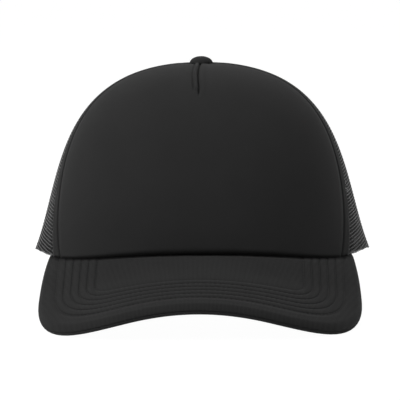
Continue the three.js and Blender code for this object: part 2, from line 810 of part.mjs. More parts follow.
add("button_washer", buttonWasher(), steel);

export default cap;
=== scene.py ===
# A trucker cap: cloth front, net back, stitched peak and moulded snap straps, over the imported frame.
# Metres. +Z is up and the wearer faces -Y. An azimuth is 0 at the front and grows to the wearer's left.
import math
import bmesh
import bpy
import numpy as np
from mathutils import Matrix, Vector


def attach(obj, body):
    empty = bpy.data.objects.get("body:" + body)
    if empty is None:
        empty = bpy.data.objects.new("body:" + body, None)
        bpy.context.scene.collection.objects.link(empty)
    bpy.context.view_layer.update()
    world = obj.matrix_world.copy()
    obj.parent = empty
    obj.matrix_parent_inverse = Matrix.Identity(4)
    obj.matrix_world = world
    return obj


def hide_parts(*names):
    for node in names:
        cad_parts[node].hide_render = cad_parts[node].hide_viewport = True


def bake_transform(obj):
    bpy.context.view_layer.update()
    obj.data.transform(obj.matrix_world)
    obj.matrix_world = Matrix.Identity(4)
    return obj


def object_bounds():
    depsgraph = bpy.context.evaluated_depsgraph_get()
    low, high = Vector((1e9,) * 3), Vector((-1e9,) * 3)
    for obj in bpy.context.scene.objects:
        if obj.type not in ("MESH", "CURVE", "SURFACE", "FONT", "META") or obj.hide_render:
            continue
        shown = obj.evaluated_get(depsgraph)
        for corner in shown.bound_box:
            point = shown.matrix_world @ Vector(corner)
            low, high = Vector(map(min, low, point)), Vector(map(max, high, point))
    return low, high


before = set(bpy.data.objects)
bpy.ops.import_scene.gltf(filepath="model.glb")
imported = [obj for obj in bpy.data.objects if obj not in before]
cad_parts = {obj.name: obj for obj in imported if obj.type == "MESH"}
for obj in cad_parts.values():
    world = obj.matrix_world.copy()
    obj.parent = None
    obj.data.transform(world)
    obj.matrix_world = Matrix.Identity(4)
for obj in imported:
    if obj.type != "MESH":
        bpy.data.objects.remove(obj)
cad_low, cad_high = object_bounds()

MM = 0.001
DEGREE = math.pi / 180

# Crown form, as in the frame
HEM_HALF_WIDTH = 96 * MM
HEM_FRONT_DEPTH = 90 * MM
HEM_BACK_DEPTH = 92 * MM
HEM_SQUARENESS = 2.3
CROWN_HEIGHT = 107.5 * MM
# The two handles of each profile, as shares of the hem's radius and of the crown's height
FRONT_HANDLES = ((0.96, 0.54), (0.7, 1))
SIDE_HANDLES = ((0.827, 0.389), (0.886, 1))
BACK_HANDLES = ((0.93, 0.5), (0.66, 1))
SEAM_AT_HEM = 57 * DEGREE
SEAM_AT_SIDE = 76 * DEGREE
SEAM_AT_TOP = 90 * DEGREE
SEAM_SWEEP = 3
PANEL_TIP = 3 * MM
FOAM_TIP = 9 * MM

# Layers, as in the frame
SEAM_GAP = 0.3 * MM
LAYER_GAP = 0.6 * MM
FABRIC = 0.8 * MM
FOAM = 3 * MM
NET = 1 * MM
TAPE = 0.7 * MM
TAPE_WIDTH = 12 * MM
BAND = 1.2 * MM
BAND_HEIGHT = 30 * MM

# Peak form, as in the frame
PEAK_END_TURN = 60.5 * DEGREE
PEAK_FLARE = 2.85 * MM
PEAK_LENGTH = 70 * MM
PEAK_CORNER = 68.5 * MM
PEAK_FRONT_RADIUS = 157 * MM
PEAK_ARCH = 102.5 * MM
PEAK_TOP = 0.9 * MM
PEAK_FOAM = 0.8 * MM
PEAK_BOARD = 1.5 * MM
PEAK_UNDER = 0.8 * MM
PEAK_LAYER_GAP = 0.4 * MM
PEAK_EDGE = 3.2 * MM
PEAK_CORE_INSET = 3.6 * MM

# Peak's root, flatter than in the frame: its rise in the middle and at its ends, and the lift between
PEAK_RISE = 6.8 * MM
PEAK_SLOPE = 0.266
PEAK_END_RISE = 2 * MM
PEAK_END_FADE = 32 * DEGREE
ROOT_LIFT = 2.6 * MM
ROOT_LIFT_POWER = 1.5
ROOT_LIFT_REACH = (4 * MM, 26 * MM)

# Back opening, binding and straps, as in the frame
OPENING_HALF_WIDTH = 40.5 * MM
OPENING_HEIGHT = 52 * MM
OPENING_SQUARENESS = 2.3
OPENING_CLEARANCE = 1 * MM
OPENING_TURN = math.pi - math.asin(OPENING_HALF_WIDTH / HEM_BACK_DEPTH)
BINDING = 0.9 * MM
BINDING_LEG = 8 * MM
STRAP_HEIGHT = 18 * MM
STRAP = 1.4 * MM
STRAP_FOOT = 2 * MM
STRAP_TIP_RADIUS = 6 * MM
SNAP_PITCH = 8 * MM
SNAP_COUNT = 7
SNAPS_ENGAGED = 5
SNAP_HOLE = 2.1 * MM
COLLAR_WIDTH = 1.2 * MM
COLLAR_HEIGHT = 0.4 * MM
STUD_NECK = 1.2 * MM
STUD_HEAD = 1.45 * MM
STUD_STAND_OUT = 0.6 * MM
STRAP_TIP_MARGIN = 5 * MM
STRAP_ROOT_MARGIN = 3.6 * MM
STRAP_RAMP = 13 * MM
TAB_LENGTH = 16 * MM

# Button: its outline and seat, fitted to the photograph, and its layers, as in the frame
BUTTON_RADIUS = 6.5 * MM
BUTTON_HEIGHT = 4.2 * MM
BUTTON_TILT = 5 * DEGREE
BUTTON_SINK = 0.85 * MM
BUTTON_SKIN = 0.7 * MM
BUTTON_METAL = 0.6 * MM
SHANK = 1.3 * MM
WASHER_RADIUS = 5.5 * MM
WASHER = 0.8 * MM
CLINCH = 2.4 * MM

# How finely crown places are found
NUDGE = 1e-3
LOWEST_CLIMB = -0.1
HALVINGS = 26
PLACING_ROUNDS = 6

# Front panel: its flat size, its grid in zones of a length and a count, and its padding
PANEL_ROW_ZONES = ((4 * MM, 8), (100 * MM, 56), (46 * MM, 50))
PANEL_COLUMN_ZONES = ((7 * MM, 22), (60 * MM, 24), (8 * MM, 16))
LARGEST_ZONE_SHARE = 0.36
SEAM_SAMPLES = 200
CLOTH_GRID = 45
CLOTH_FRAMES = 20
CLOTH_EASE = 0.004
CLOTH_SMOOTHING = 12
PAD_PRESSURE = 3.0
SWELL_CAP = 0.9 * MM

# Front panel: the strip and groove along its edges, and its rolled foot
EDGE_STRIP = 7.0 * MM
EDGE_STRIP_RISE = 0.25 * MM
EDGE_STRIP_FALL = (-0.5 * MM, 1.5 * MM)
EDGE_GROOVE_DEPTH = 0.75 * MM
EDGE_GROOVE_WIDTH = 0.6 * MM
GROOVE_LIP = 0.22 * MM
GROOVE_LIP_PLACE = 1.7 * MM
GROOVE_LIP_WIDTH = 0.9 * MM
EDGE_ROLL = 1.1 * MM
EDGE_ROLL_WIDTH = 1.1 * MM
FOOT_ROLL = 2.6 * MM
FOOT_ROLL_HEIGHT = 2.2 * MM
FOOT_HEIGHT_SHARES = (0.8, 1.75)
FOOT_ROUNDNESS = 0.98
RIPPLE = 0.16 * MM
RIPPLE_RUN = 12 * MM
TUCK = 1.5 * MM
TUCK_WIDTH = 1.3 * MM
TUCK_AT_ENDS = 0.3

# Front panel: the dart, its fold and the dimple under the button
DART_REACH = 54 * MM
DART_FADE = 2.5 * MM
DART_DEPTH = 1.5 * MM
DART_WIDTH = 0.5 * MM
DART_OFFSET = -0.9 * MM
DART_WANDER = 0.4 * MM
DART_WAVE = 7 * MM
DART_START = (2 * MM, 9 * MM)
DART_SWELL = 0.3 * MM
DART_SWELL_PLACE = 2.4 * MM
DART_SWELL_WIDTH = 1.8 * MM
DART_FOLD_REACH = 50 * MM
DART_FOLD_FADE = 1.2 * MM
DART_FOLD_WIDTH = 2.5 * MM
DART_FOLD_HEIGHT = 0.75 * MM
DART_FOLD_EDGE = 0.35 * MM
DART_FOLD_LIP = 0.6 * MM
FOLD_LINE = 0.3 * MM
FOLD_LINE_PLACE = 0.4 * MM
FOLD_LINE_WIDTH = 0.55 * MM
DART_RISE_AT_BUTTON = 0.3
BUTTON_DIMPLE = 0.95 * MM
BUTTON_DIMPLE_REACH = 14 * MM

# Front panel: how dark the painted shade is in its groove, on its strip and turned edge, in the dart and in
# the crease at its foot, as shares of the darkest
GROOVE_SHADE = 0.7
STRIP_SHADE = 0.1
ROLL_SHADE = 0.5
DART_SHADE = 0.85
FOLD_LINE_SHADE = 0.5
CREASE_START = 0.15
CREASE_FULL = (0.45, 0.95)

# Foam behind the front panel
FOAM_FOOT = 3 * MM
FOAM_EDGE = 2 * MM
FOAM_EDGE_THINNING = (0.6 * MM, 0.9 * MM)
FOAM_DART_WIDTH = 0.6 * MM
FOAM_DART_DEPTH = 0.8 * MM
FOAM_DART_FADE = 9 * MM

# Stitched rows of the peak
ROW_COUNT = 6
FIRST_ROW = 11.8 * MM
ROW_PITCH = 4.6 * MM
FIRST_ROW_AT_SIDE = 9.7 * MM
ROW_PITCH_AT_SIDE = 4.41 * MM
# Painted shade along the stitched rows: its width, and shares that grow over a run towards the peak's sides
ROW_SHADE_WIDTH = 0.55 * MM
ROW_SHADE = (0.5, 1.0)
ROW_SHADE_RUN = (45 * MM, 65 * MM)
INNER_CORNER = 6 * MM
CORNER_LOSS = 1.6
RIB_PITCH = 2.1 * MM
RIB_FAN = 0.75
PUFF = 0.75 * MM
UNDER_PUFF = 0.25 * MM
PUFF_SHARES = {"rows": 0.75, "rim": 0.8, "field": 0.6}

# Net and thread. A run goes from one climb to another, and a step is an azimuth.
NET_PITCH = 2 * MM
STRAND = 0.2 * MM
NET_DEPTH = 0.22 * MM
POST_SINK = 0.2 * MM
NET_GRAIN = 8 * DEGREE
GRAIN_CLIMB = 0.3
NET_CLOTH = (130 * MM, 170 * MM)
NET_ZIGZAG_SHARE = 0.19
POST_THINNING = 0.1
# Painted shade, as shares of the darkest: POST_SHADE on the sunk posts and HEM_NET_SHADE on the hem's layer
# behind; BORDER_SHADE darkens the turned border
POST_SHADE = 0.74
HEM_NET_HEIGHT = 8 * MM
HEM_NET_DEPTH = 0.75 * NET
HEM_NET_SHADE = (0.5, 0.9)
BORDER_RUN = (0.002, 0.972)
BORDER_STEP = 0.003
BORDER_GAUGE = 2.0
BORDER_SHADE = 0.6
BORDER_LIFT = 0.45 * MM
BORDER_POINTS = (120, 90)
THREAD = 0.17 * MM
STITCH = 2.3 * MM
STITCH_PITCH = 2.9 * MM
STITCH_SINK = 0.1 * MM
EDGE_STITCH_SINK = 0.62 * MM
SEAM_RUN = (0.005, 0.93)
ROW_POINTS = 90

# How cloth is dyed and spun, the painted shade in its recesses and between its threads, and how yarn,
# plastic and metal are marked
DYE_PATCH_RATE = 35.0
DYE_UNEVENNESS = 0.28
HOLLOW_SHADE = 0.85
WEAVE_SHADE_LEVEL = 0.82
WEAVE_SHADE_CONTRAST = 0.3
RIB_CONTRAST = 0.07
RIB_HEIGHT = 0.7
FUZZ_RATE = 2600.0
FUZZ_HEIGHT = 0.7
CLOTH_THREAD = 0.62 * MM
YARN_TONE = 0.7
YARN_CONTRAST = 0.6
YARN_GLOSS_CHANGE = 0.2
YARN_RELIEF = 0.05 * MM
FLOW_TONE = 0.8
FLOW_CONTRAST = 0.4
SCRATCH_GLOSS_CHANGE = 0.25
SCRATCH_RELIEF = 0.02 * MM
SCRATCH_RATES = (150, 150, 1800)


def mix(a, b, share):
    return a + (b - a) * share


def ease(value, low, high):
    share = np.clip((value - low) / (high - low), 0, 1)
    return share * share * (3 - 2 * share)


def bell(distance, width):
    return np.exp(-((distance / width) ** 2))


def spread(*zones):
    """Places from 0 up, from (length, count) zones laid end to end."""
    places = [0.0]
    for length, count in zones:
        places += list(places[-1] + length * np.arange(1, count + 1) / count)
    return np.array(places)


def from_axis(points):
    """How far points lie from the crown's upright axis."""
    return np.hypot(points[..., 0], points[..., 1])


# Crown

def hem_radius(turn):
    """How far the crown's foot lies from its axis: a rounded oval, deeper behind than in front."""
    depth = np.where(np.cos(turn) > 0, HEM_FRONT_DEPTH, HEM_BACK_DEPTH)
    across = np.abs(np.sin(turn)) / HEM_HALF_WIDTH
    along = np.abs(np.cos(turn)) / depth
    return (across**HEM_SQUARENESS + along**HEM_SQUARENESS) ** (-1 / HEM_SQUARENESS)


def hem_plan(turn, inset=0.0):
    """The crown's foot in plan, x and y."""
    radius = hem_radius(turn) - inset
    return np.stack([radius * np.sin(turn), -radius * np.cos(turn)], -1)


PEAK_END = hem_plan(PEAK_END_TURN)
PEAK_FRONT = -HEM_FRONT_DEPTH - PEAK_LENGTH
PEAK_ROOT_DROP = PEAK_RISE - PEAK_END_RISE + PEAK_SLOPE * (PEAK_END[1] + HEM_FRONT_DEPTH)
PEAK_ROOT_BEND = 2 * PEAK_ROOT_DROP / PEAK_END[0] ** 2


def peak_top(x, y):
    """The height of the peak's upper face: sloping down to the front, arched from side to side."""
    reach = np.clip((y - PEAK_END[1]) / (PEAK_FRONT - PEAK_END[1]), 0, 1)
    bend = mix(PEAK_ROOT_BEND, 1 / PEAK_ARCH, reach)
    turn = np.minimum(np.arctan2(np.abs(x), -y), PEAK_END_TURN)
    near = 1 - ease(np.hypot(x, y) - hem_radius(turn), *ROOT_LIFT_REACH)
    lift = ROOT_LIFT * np.sin(math.pi * (turn / PEAK_END_TURN) ** ROOT_LIFT_POWER) * near
    return PEAK_RISE + PEAK_SLOPE * (y + HEM_FRONT_DEPTH) - bend * x * x / 2 + lift


def middling(x):
    """1 at the front's middle and 0 at the peak's ends."""
    return 1 - np.minimum(np.abs(x) / PEAK_END[0], 1) ** 2


def hem_level(x, y):
    """The height of the crown's hem: on the peak in front, and easing down to 0 beside it."""
    beyond = np.abs(np.arctan2(x, -y)) - PEAK_END_TURN
    return np.maximum(0, peak_top(x, y)) * (1 - ease(beyond, 0, PEAK_END_FADE))


def outer_point(turn, climb):
    """A point of the crown's outer face. Climb is 0 at the hem and 1 under the button."""
    turn, climb = np.broadcast_arrays(turn, climb)
    weights = (np.maximum(np.cos(turn), 0) ** 2, np.sin(turn) ** 2, np.maximum(-np.cos(turn), 0) ** 2)

    def share(handle, axis):
        profiles = (FRONT_HANDLES, SIDE_HANDLES, BACK_HANDLES)
        return sum(weight * profile[handle][axis] for weight, profile in zip(weights, profiles))

    rest = 1 - climb
    first = 3 * rest * rest * climb
    second = 3 * rest * climb * climb
    radius = hem_radius(turn) * (rest**3 + first * share(0, 0) + second * share(1, 0))
    rise = first * share(0, 1) + second * share(1, 1) + climb**3
    plan = hem_plan(turn)
    foot = hem_level(plan[..., 0], plan[..., 1])
    height = foot + (CROWN_HEIGHT - foot) * rise
    return np.stack([radius * np.sin(turn), -radius * np.cos(turn), height], -1)


def crown_normal(turn, climb):
    around = outer_point(turn + NUDGE, climb) - outer_point(turn - NUDGE, climb)
    up = outer_point(turn, climb + NUDGE) - outer_point(turn, climb - NUDGE)
    normal = np.cross(around, up)
    return normal / np.linalg.norm(normal, axis=-1, keepdims=True)


def crown_point(turn, climb, inset):
    """A point under the crown's outer face, measured square to it."""
    turn, climb, inset = np.broadcast_arrays(turn, climb, inset)
    return outer_point(turn, climb) - crown_normal(turn, climb) * inset[..., None]


def climb_where(measure, value, shape):
    """The climb at which a rising measure of the crown reaches a value."""
    low = np.full(shape, LOWEST_CLIMB)
    high = np.full(shape, 1 - NUDGE)
    for _ in range(HALVINGS):
        middle = (low + high) / 2
        below = measure(middle) < value
        low = np.where(below, middle, low)
        high = np.where(below, high, middle)
    return (low + high) / 2


def climb_at_height(turn, height, inset):
    shape = np.broadcast_shapes(np.shape(turn), np.shape(height), np.shape(inset))
    return climb_where(lambda climb: crown_point(turn, climb, inset)[..., 2], height, shape)


def hem_climb(turn, inset, lift=0.0):
    """The climb at which the crown stands a lift above its hem."""

    def measure(climb):
        point = crown_point(turn, climb, inset)
        return point[..., 2] - hem_level(point[..., 0], point[..., 1])

    return climb_where(measure, lift, np.broadcast_shapes(np.shape(turn), np.shape(inset)))


def tip_climb(turn, inset, radius):
    """The climb at which the crown comes within a radius of its axis."""
    shape = np.broadcast_shapes(np.shape(turn), np.shape(inset))
    return climb_where(lambda climb: -from_axis(crown_point(turn, climb, inset)), -radius, shape)


def front_seam(climb):
    """The azimuth of the seam between the front panel and a side panel."""
    share = np.clip(climb, 0, 1)
    low = mix(SEAM_AT_HEM, SEAM_AT_SIDE, 1 - (1 - share) ** SEAM_SWEEP)
    return mix(low, SEAM_AT_TOP, share**SEAM_SWEEP)


def rear_seam(climb):
    return (front_seam(climb) + math.pi) / 2


def back_seam(climb):
    return np.full(np.shape(climb), math.pi)


def distances(points):
    """The distance along each row of points, from its first."""
    steps = np.linalg.norm(np.diff(points, axis=-2), axis=-1)
    return np.concatenate([np.zeros(steps.shape[:-1] + (1,)), np.cumsum(steps, axis=-1)], axis=-1)


# Meshes and pieces

def new_piece(name, mesh, material):
    piece = bpy.data.objects.new(name, mesh)
    bpy.context.scene.collection.objects.link(piece)
    mesh.materials.clear()
    mesh.materials.append(material)
    return piece


def mesh_from(name, points, faces, cloth=None, hollow=None):
    """A smooth mesh, with the cloth's flat places as its UV map and a mask of the shade painted on it."""
    mesh = bpy.data.meshes.new(name)
    mesh.from_pydata(np.asarray(points).reshape(-1, 3).tolist(), [], faces)
    mesh.shade_smooth()
    if cloth is not None:
        corners = np.zeros(len(mesh.loops), np.int32)
        mesh.loops.foreach_get("vertex_index", corners)
        layer = mesh.uv_layers.new(name="cloth")
        layer.data.foreach_set("uv", np.asarray(cloth).reshape(-1, 2)[corners].astype(np.float32).ravel())
    if hollow is not None:
        attribute = mesh.attributes.new("hollow", "FLOAT", "POINT")
        attribute.data.foreach_set("value", np.asarray(hollow).astype(np.float32).ravel())
    return mesh


def closed_sheet(name, face, back, cloth=None, hollow=None):
    """A closed sheet between two grids of points [column, row].

    Columns run anticlockwise as seen from above, and rows run up.
    """
    columns, rows = face.shape[:2]
    index = np.arange(columns * rows).reshape(columns, rows)
    under = index + columns * rows
    faces = []

    def quads(a, b, c, d):
        faces.extend(np.stack([a, b, c, d], -1).reshape(-1, 4).tolist())

    quads(index[:-1, :-1], index[1:, :-1], index[1:, 1:], index[:-1, 1:])
    quads(under[:-1, :-1], under[:-1, 1:], under[1:, 1:], under[1:, :-1])
    quads(under[:-1, 0], under[1:, 0], index[1:, 0], index[:-1, 0])
    quads(index[:-1, -1], index[1:, -1], under[1:, -1], under[:-1, -1])
    quads(under[0, :-1], index[0, :-1], index[0, 1:], under[0, 1:])
    quads(index[-1, :-1], under[-1, :-1], under[-1, 1:], index[-1, 1:])
    both = [None if part is None else np.concatenate([part.reshape(columns * rows, -1)] * 2)
            for part in (cloth, hollow)]
    points = np.concatenate([face.reshape(-1, 3), back.reshape(-1, 3)])
    return mesh_from(name, points, faces, *both)


def closed_bar(name, rings, cloth=None):
    """A closed bar through rings of points [ring, place], with a flat end at each end."""
    count, around = rings.shape[:2]
    index = np.arange(count * around).reshape(count, around)
    ahead = np.roll(index, -1, axis=1)
    sides = np.stack([index[:-1], ahead[:-1], ahead[1:], index[1:]], -1).reshape(-1, 4).tolist()
    ends = [index[0][::-1].tolist(), index[-1].tolist()]
    return mesh_from(name, rings, sides + ends, cloth)


def turned(name, profile, sides, pleat=None):
    """A closed body turned round +Z. Its (radius, height) points run from axis to axis, or in a ring."""
    profile = np.asarray(profile)
    angles = 2 * math.pi * np.arange(sides) / sides
    radii = profile[:, 0, None] * np.ones(sides)
    if pleat:
        radii = radii * (1 + pleat(profile[:, 1, None], angles))
    heights = profile[:, 1, None] * np.ones(sides)
    rings = np.stack([radii * np.cos(angles), radii * np.sin(angles), heights], -1)
    index = np.arange(len(profile) * sides).reshape(len(profile), sides)
    ahead = np.roll(index, -1, axis=1)
    faces = np.stack([index[:-1], ahead[:-1], ahead[1:], index[1:]], -1).reshape(-1, 4).tolist()
    mesh = mesh_from(name, rings, faces, rings[..., :2])
    body = bmesh.new()
    body.from_mesh(mesh)
    bmesh.ops.remove_doubles(body, verts=body.verts, dist=1e-7)
    body.to_mesh(mesh)
    body.free()
    return mesh


def mirror_mesh(mesh, name):
    """The same mesh on the other side of the cap, with its faces turned outwards again."""
    copy = mesh.copy()
    copy.name = name
    copy.transform(Matrix.Scale(-1, 4, (1, 0, 0)))
    copy.flip_normals()
    return copy


def dress(piece, body, slot, *nodes):
    """Gives a piece its body and hides the nodes that it stands for. Its slot is not used."""
    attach(piece, body)
    if nodes:
        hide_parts(*nodes)
    return piece


# Node trees

def place(tree, kind, inputs=None, **settings):
    """Adds a node. An input is a value, or another node's output to link."""
    node = tree.nodes.new(kind)
    for name, value in settings.items():
        setattr(node, name, value)
    for key, value in (inputs or {}).items():
        if isinstance(value, bpy.types.NodeSocket):
            tree.links.new(value, node.inputs[key])
        else:
            node.inputs[key].default_value = value
    return node


def new_tree(name, kind, inputs, outputs):
    """A node group with named sockets, as (tree, its input node, its output node)."""
    tree = bpy.data.node_groups.new(name, kind)
    for socket, socket_type in inputs.items():
        tree.interface.new_socket(socket, in_out="INPUT", socket_type=socket_type)
    for socket, socket_type in outputs.items():
        tree.interface.new_socket(socket, in_out="OUTPUT", socket_type=socket_type)
    return tree, tree.nodes.new("NodeGroupInput"), tree.nodes.new("NodeGroupOutput")


def calculate(tree, operation, *values):
    """A Math node's result. A value is a number, or another node's output."""
    return place(tree, "ShaderNodeMath", dict(enumerate(values)), operation=operation).outputs[0]


FLOAT = "NodeSocketFloat"
VECTOR = "NodeSocketVector"
SHAPE = "NodeSocketGeometry"
FINISH = "NodeSocketMaterial"


def close_shape(tree, shape, given, result):
    """Ends a tree of shapes: real copies, then their finish."""
    real = place(tree, "GeometryNodeRealizeInstances", {"Geometry": shape})
    inputs = {"Geometry": real.outputs[0], "Material": given.outputs["Finish"]}
    painted = place(tree, "GeometryNodeSetMaterial", inputs)
    tree.links.new(painted.outputs[0], result.inputs[0])
    return tree


def strand_tree():
    """Turns loose edges into round strands, each as thick as its gauge says."""
    inputs = {"Lines": SHAPE, "Strand Radius": FLOAT, "Sides": "NodeSocketInt", "Finish": FINISH}
    tree, given, result = new_tree("net strands", "GeometryNodeTree", inputs, {"Net": SHAPE})
    gauge = place(tree, "GeometryNodeInputNamedAttribute", {"Name": "gauge"}, data_type="FLOAT")
    curve = place(tree, "GeometryNodeMeshToCurve", {"Mesh": given.outputs["Lines"]})
    widths = {"Curve": curve.outputs[0], "Radius": gauge.outputs[0]}
    thick = place(tree, "GeometryNodeSetCurveRadius", widths)
    circle = {"Resolution": given.outputs["Sides"], "Radius": given.outputs["Strand Radius"]}
    ring = place(tree, "GeometryNodeCurvePrimitiveCircle", circle)
    sweep = {"Curve": thick.outputs[0], "Profile Curve": ring.outputs[0], "Fill Caps": True}
    tube = place(tree, "GeometryNodeCurveToMesh", sweep)
    smooth = place(tree, "GeometryNodeSetShadeSmooth", {"Geometry": tube.outputs[0]})
    return close_shape(tree, smooth.outputs[0], given, result)


def stitch_tree():
    """Lays stitches along lines: each is a short rounded run of thread, level with the cloth."""
    inputs = {"Lines": SHAPE, "Pitch": FLOAT, "Stitch": FLOAT, "Thread Radius": FLOAT, "Finish": FINISH}
    tree, given, result = new_tree("stitch rows", "GeometryNodeTree", inputs, {"Stitches": SHAPE})
    thread = given.outputs["Thread Radius"]
    curve = place(tree, "GeometryNodeMeshToCurve", {"Mesh": given.outputs["Lines"]})
    spacing = {"Curve": curve.outputs[0], "Length": given.outputs["Pitch"]}
    spaced = place(tree, "GeometryNodeResampleCurve", spacing, mode="LENGTH")
    ahead = place(tree, "GeometryNodeInputTangent")
    up = place(tree, "GeometryNodeInputNamedAttribute", {"Name": "up"}, data_type="FLOAT_VECTOR")
    along = place(tree, "FunctionNodeAlignRotationToVector", {"Vector": ahead.outputs[0]}, axis="X")
    turns = {"Rotation": along.outputs[0], "Vector": up.outputs[0]}
    level = place(tree, "FunctionNodeAlignRotationToVector", turns, axis="Z", pivot_axis="X")
    half = calculate(tree, "MULTIPLY", given.outputs["Stitch"], 0.5)
    size = place(tree, "ShaderNodeCombineXYZ", {"X": half, "Y": thread, "Z": thread})
    bead = place(tree, "GeometryNodeMeshUVSphere", {"Segments": 6, "Rings": 5, "Radius": 1.0})
    stitch = place(tree, "GeometryNodeTransform", {"Geometry": bead.outputs[0], "Scale": size.outputs[0]})
    smooth = place(tree, "GeometryNodeSetShadeSmooth", {"Geometry": stitch.outputs[0]})
    row = {"Points": spaced.outputs[0], "Instance": smooth.outputs[0], "Rotation": level.outputs[0]}
    laid = place(tree, "GeometryNodeInstanceOnPoints", row)
    return close_shape(tree, laid.outputs[0], given, result)


def repeat_tree():
    """Sets a copy of one piece on each point, standing along the point's up."""
    inputs = {"Places": SHAPE, "Unit": "NodeSocketObject", "Finish": FINISH}
    tree, given, result = new_tree("repeated pieces", "GeometryNodeTree", inputs, {"Pieces": SHAPE})
    up = place(tree, "GeometryNodeInputNamedAttribute", {"Name": "up"}, data_type="FLOAT_VECTOR")
    turn = place(tree, "FunctionNodeAlignRotationToVector", {"Vector": up.outputs[0]}, axis="Z")
    unit = place(tree, "GeometryNodeObjectInfo", {"Object": given.outputs["Unit"]})
    copies = {
        "Points": given.outputs["Places"],
        "Instance": unit.outputs["Geometry"],
        "Rotation": turn.outputs[0],
    }
    laid = place(tree, "GeometryNodeInstanceOnPoints", copies)
    return close_shape(tree, laid.outputs[0], given, result)


def grow(piece, tree, **inputs):
    """Runs a tree on a piece and keeps its result as a plain mesh."""
    modifier = piece.modifiers.new(tree.name, "NODES")
    modifier.node_group = tree
    for item in tree.interface.items_tree:
        key = item.name.replace(" ", "_").lower()
        if item.in_out == "INPUT" and key in inputs:
            modifier[item.identifier] = inputs[key]
    seen = piece.evaluated_get(bpy.context.evaluated_depsgraph_get())
    mesh = bpy.data.meshes.new_from_object(seen)
    mesh.name = piece.name
    piece.modifiers.remove(modifier)
    piece.data = mesh
    return piece


def line_mesh(name, lines, **attributes):
    """Polylines as loose edges. Each attribute holds one array for each line."""
    mesh = bpy.data.meshes.new(name)
    edges = []
    start = 0
    for line in lines:
        count = len(line)
        edges += [(start + i, start + i + 1) for i in range(count - 1)]
        start += count
    mesh.from_pydata(np.concatenate(lines).tolist(), edges, [])
    for key, values in attributes.items():
        values = np.concatenate(values).astype(np.float32)
        kind = "FLOAT_VECTOR" if values.ndim == 2 else "FLOAT"
        attribute = mesh.attributes.new(key, kind, "POINT")
        attribute.data.foreach_set("vector" if values.ndim == 2 else "value", values.ravel())
    return mesh


# Finishes

def woven_group():
    """Height of a weave: plain at twill 0, slanting at twill 1."""
    inputs = {"Vector": VECTOR, "Thread Pitch": FLOAT, "Twill": FLOAT}
    tree, given, result = new_tree("weave", "ShaderNodeTree", inputs, {"Height": FLOAT})
    rate = calculate(tree, "DIVIDE", 2 * math.pi, given.outputs["Thread Pitch"])
    scaling = {0: given.outputs["Vector"], "Scale": rate}
    scaled = place(tree, "ShaderNodeVectorMath", scaling, operation="SCALE")
    axes = place(tree, "ShaderNodeSeparateXYZ", {0: scaled.outputs[0]})
    waves = [calculate(tree, "SINE", axes.outputs[i]) for i in range(2)]
    plain = calculate(tree, "MULTIPLY", *waves)
    twill = calculate(tree, "SINE", calculate(tree, "ADD", axes.outputs[0], axes.outputs[1]))
    kinds = {0: given.outputs["Twill"], 2: plain, 3: twill}
    both = place(tree, "ShaderNodeMix", kinds, data_type="FLOAT")
    tree.links.new(calculate(tree, "MULTIPLY_ADD", both.outputs[0], 0.5, 0.5), result.inputs[0])
    return tree


def tone_group():
    """Uneven dye and rub: a tone about 1 over the cloth, and a fine fuzz."""
    inputs = {"Vector": VECTOR, "Patch Rate": FLOAT, "Amount": FLOAT}
    outputs = {"Tone": FLOAT, "Fuzz": FLOAT}
    tree, given, result = new_tree("uneven tone", "ShaderNodeTree", inputs, outputs)
    where = given.outputs["Vector"]
    dye = {"Vector": where, "Scale": given.outputs["Patch Rate"], "Detail": 4.0}
    patches = place(tree, "ShaderNodeTexNoise", dye)
    shift = calculate(tree, "SUBTRACT", patches.outputs[0], 0.5)
    tone = calculate(tree, "MULTIPLY_ADD", shift, given.outputs["Amount"], 1.0)
    fuzz = place(tree, "ShaderNodeTexNoise", {"Vector": where, "Scale": FUZZ_RATE, "Detail": 2.0})
    tree.links.new(tone, result.inputs["Tone"])
    tree.links.new(fuzz.outputs[0], result.inputs["Fuzz"])
    return tree


def new_material(name):
    material = bpy.data.materials.new(name)
    material.use_nodes = True
    material.node_tree.nodes.clear()
    return material, material.node_tree


def close_material(tree, surface):
    output = tree.nodes.new("ShaderNodeOutputMaterial")
    tree.links.new(surface, output.inputs["Surface"])


WEAVE = woven_group()
TONE = tone_group()


def object_places(tree):
    return place(tree, "ShaderNodeTexCoord").outputs["Object"]


def attribute_of(tree, name):
    return place(tree, "ShaderNodeAttribute", attribute_name=name).outputs["Fac"]


def shaded(tree, colour, factor):
    """A colour times a factor that changes over the surface."""
    level = place(tree, "ShaderNodeCombineColor", {0: factor, 1: factor, 2: factor})
    inputs = {0: 1.0, 6: colour, 7: level.outputs[0]}
    product = place(tree, "ShaderNodeMix", inputs, data_type="RGBA", blend_type="MULTIPLY")
    return product.outputs[2]


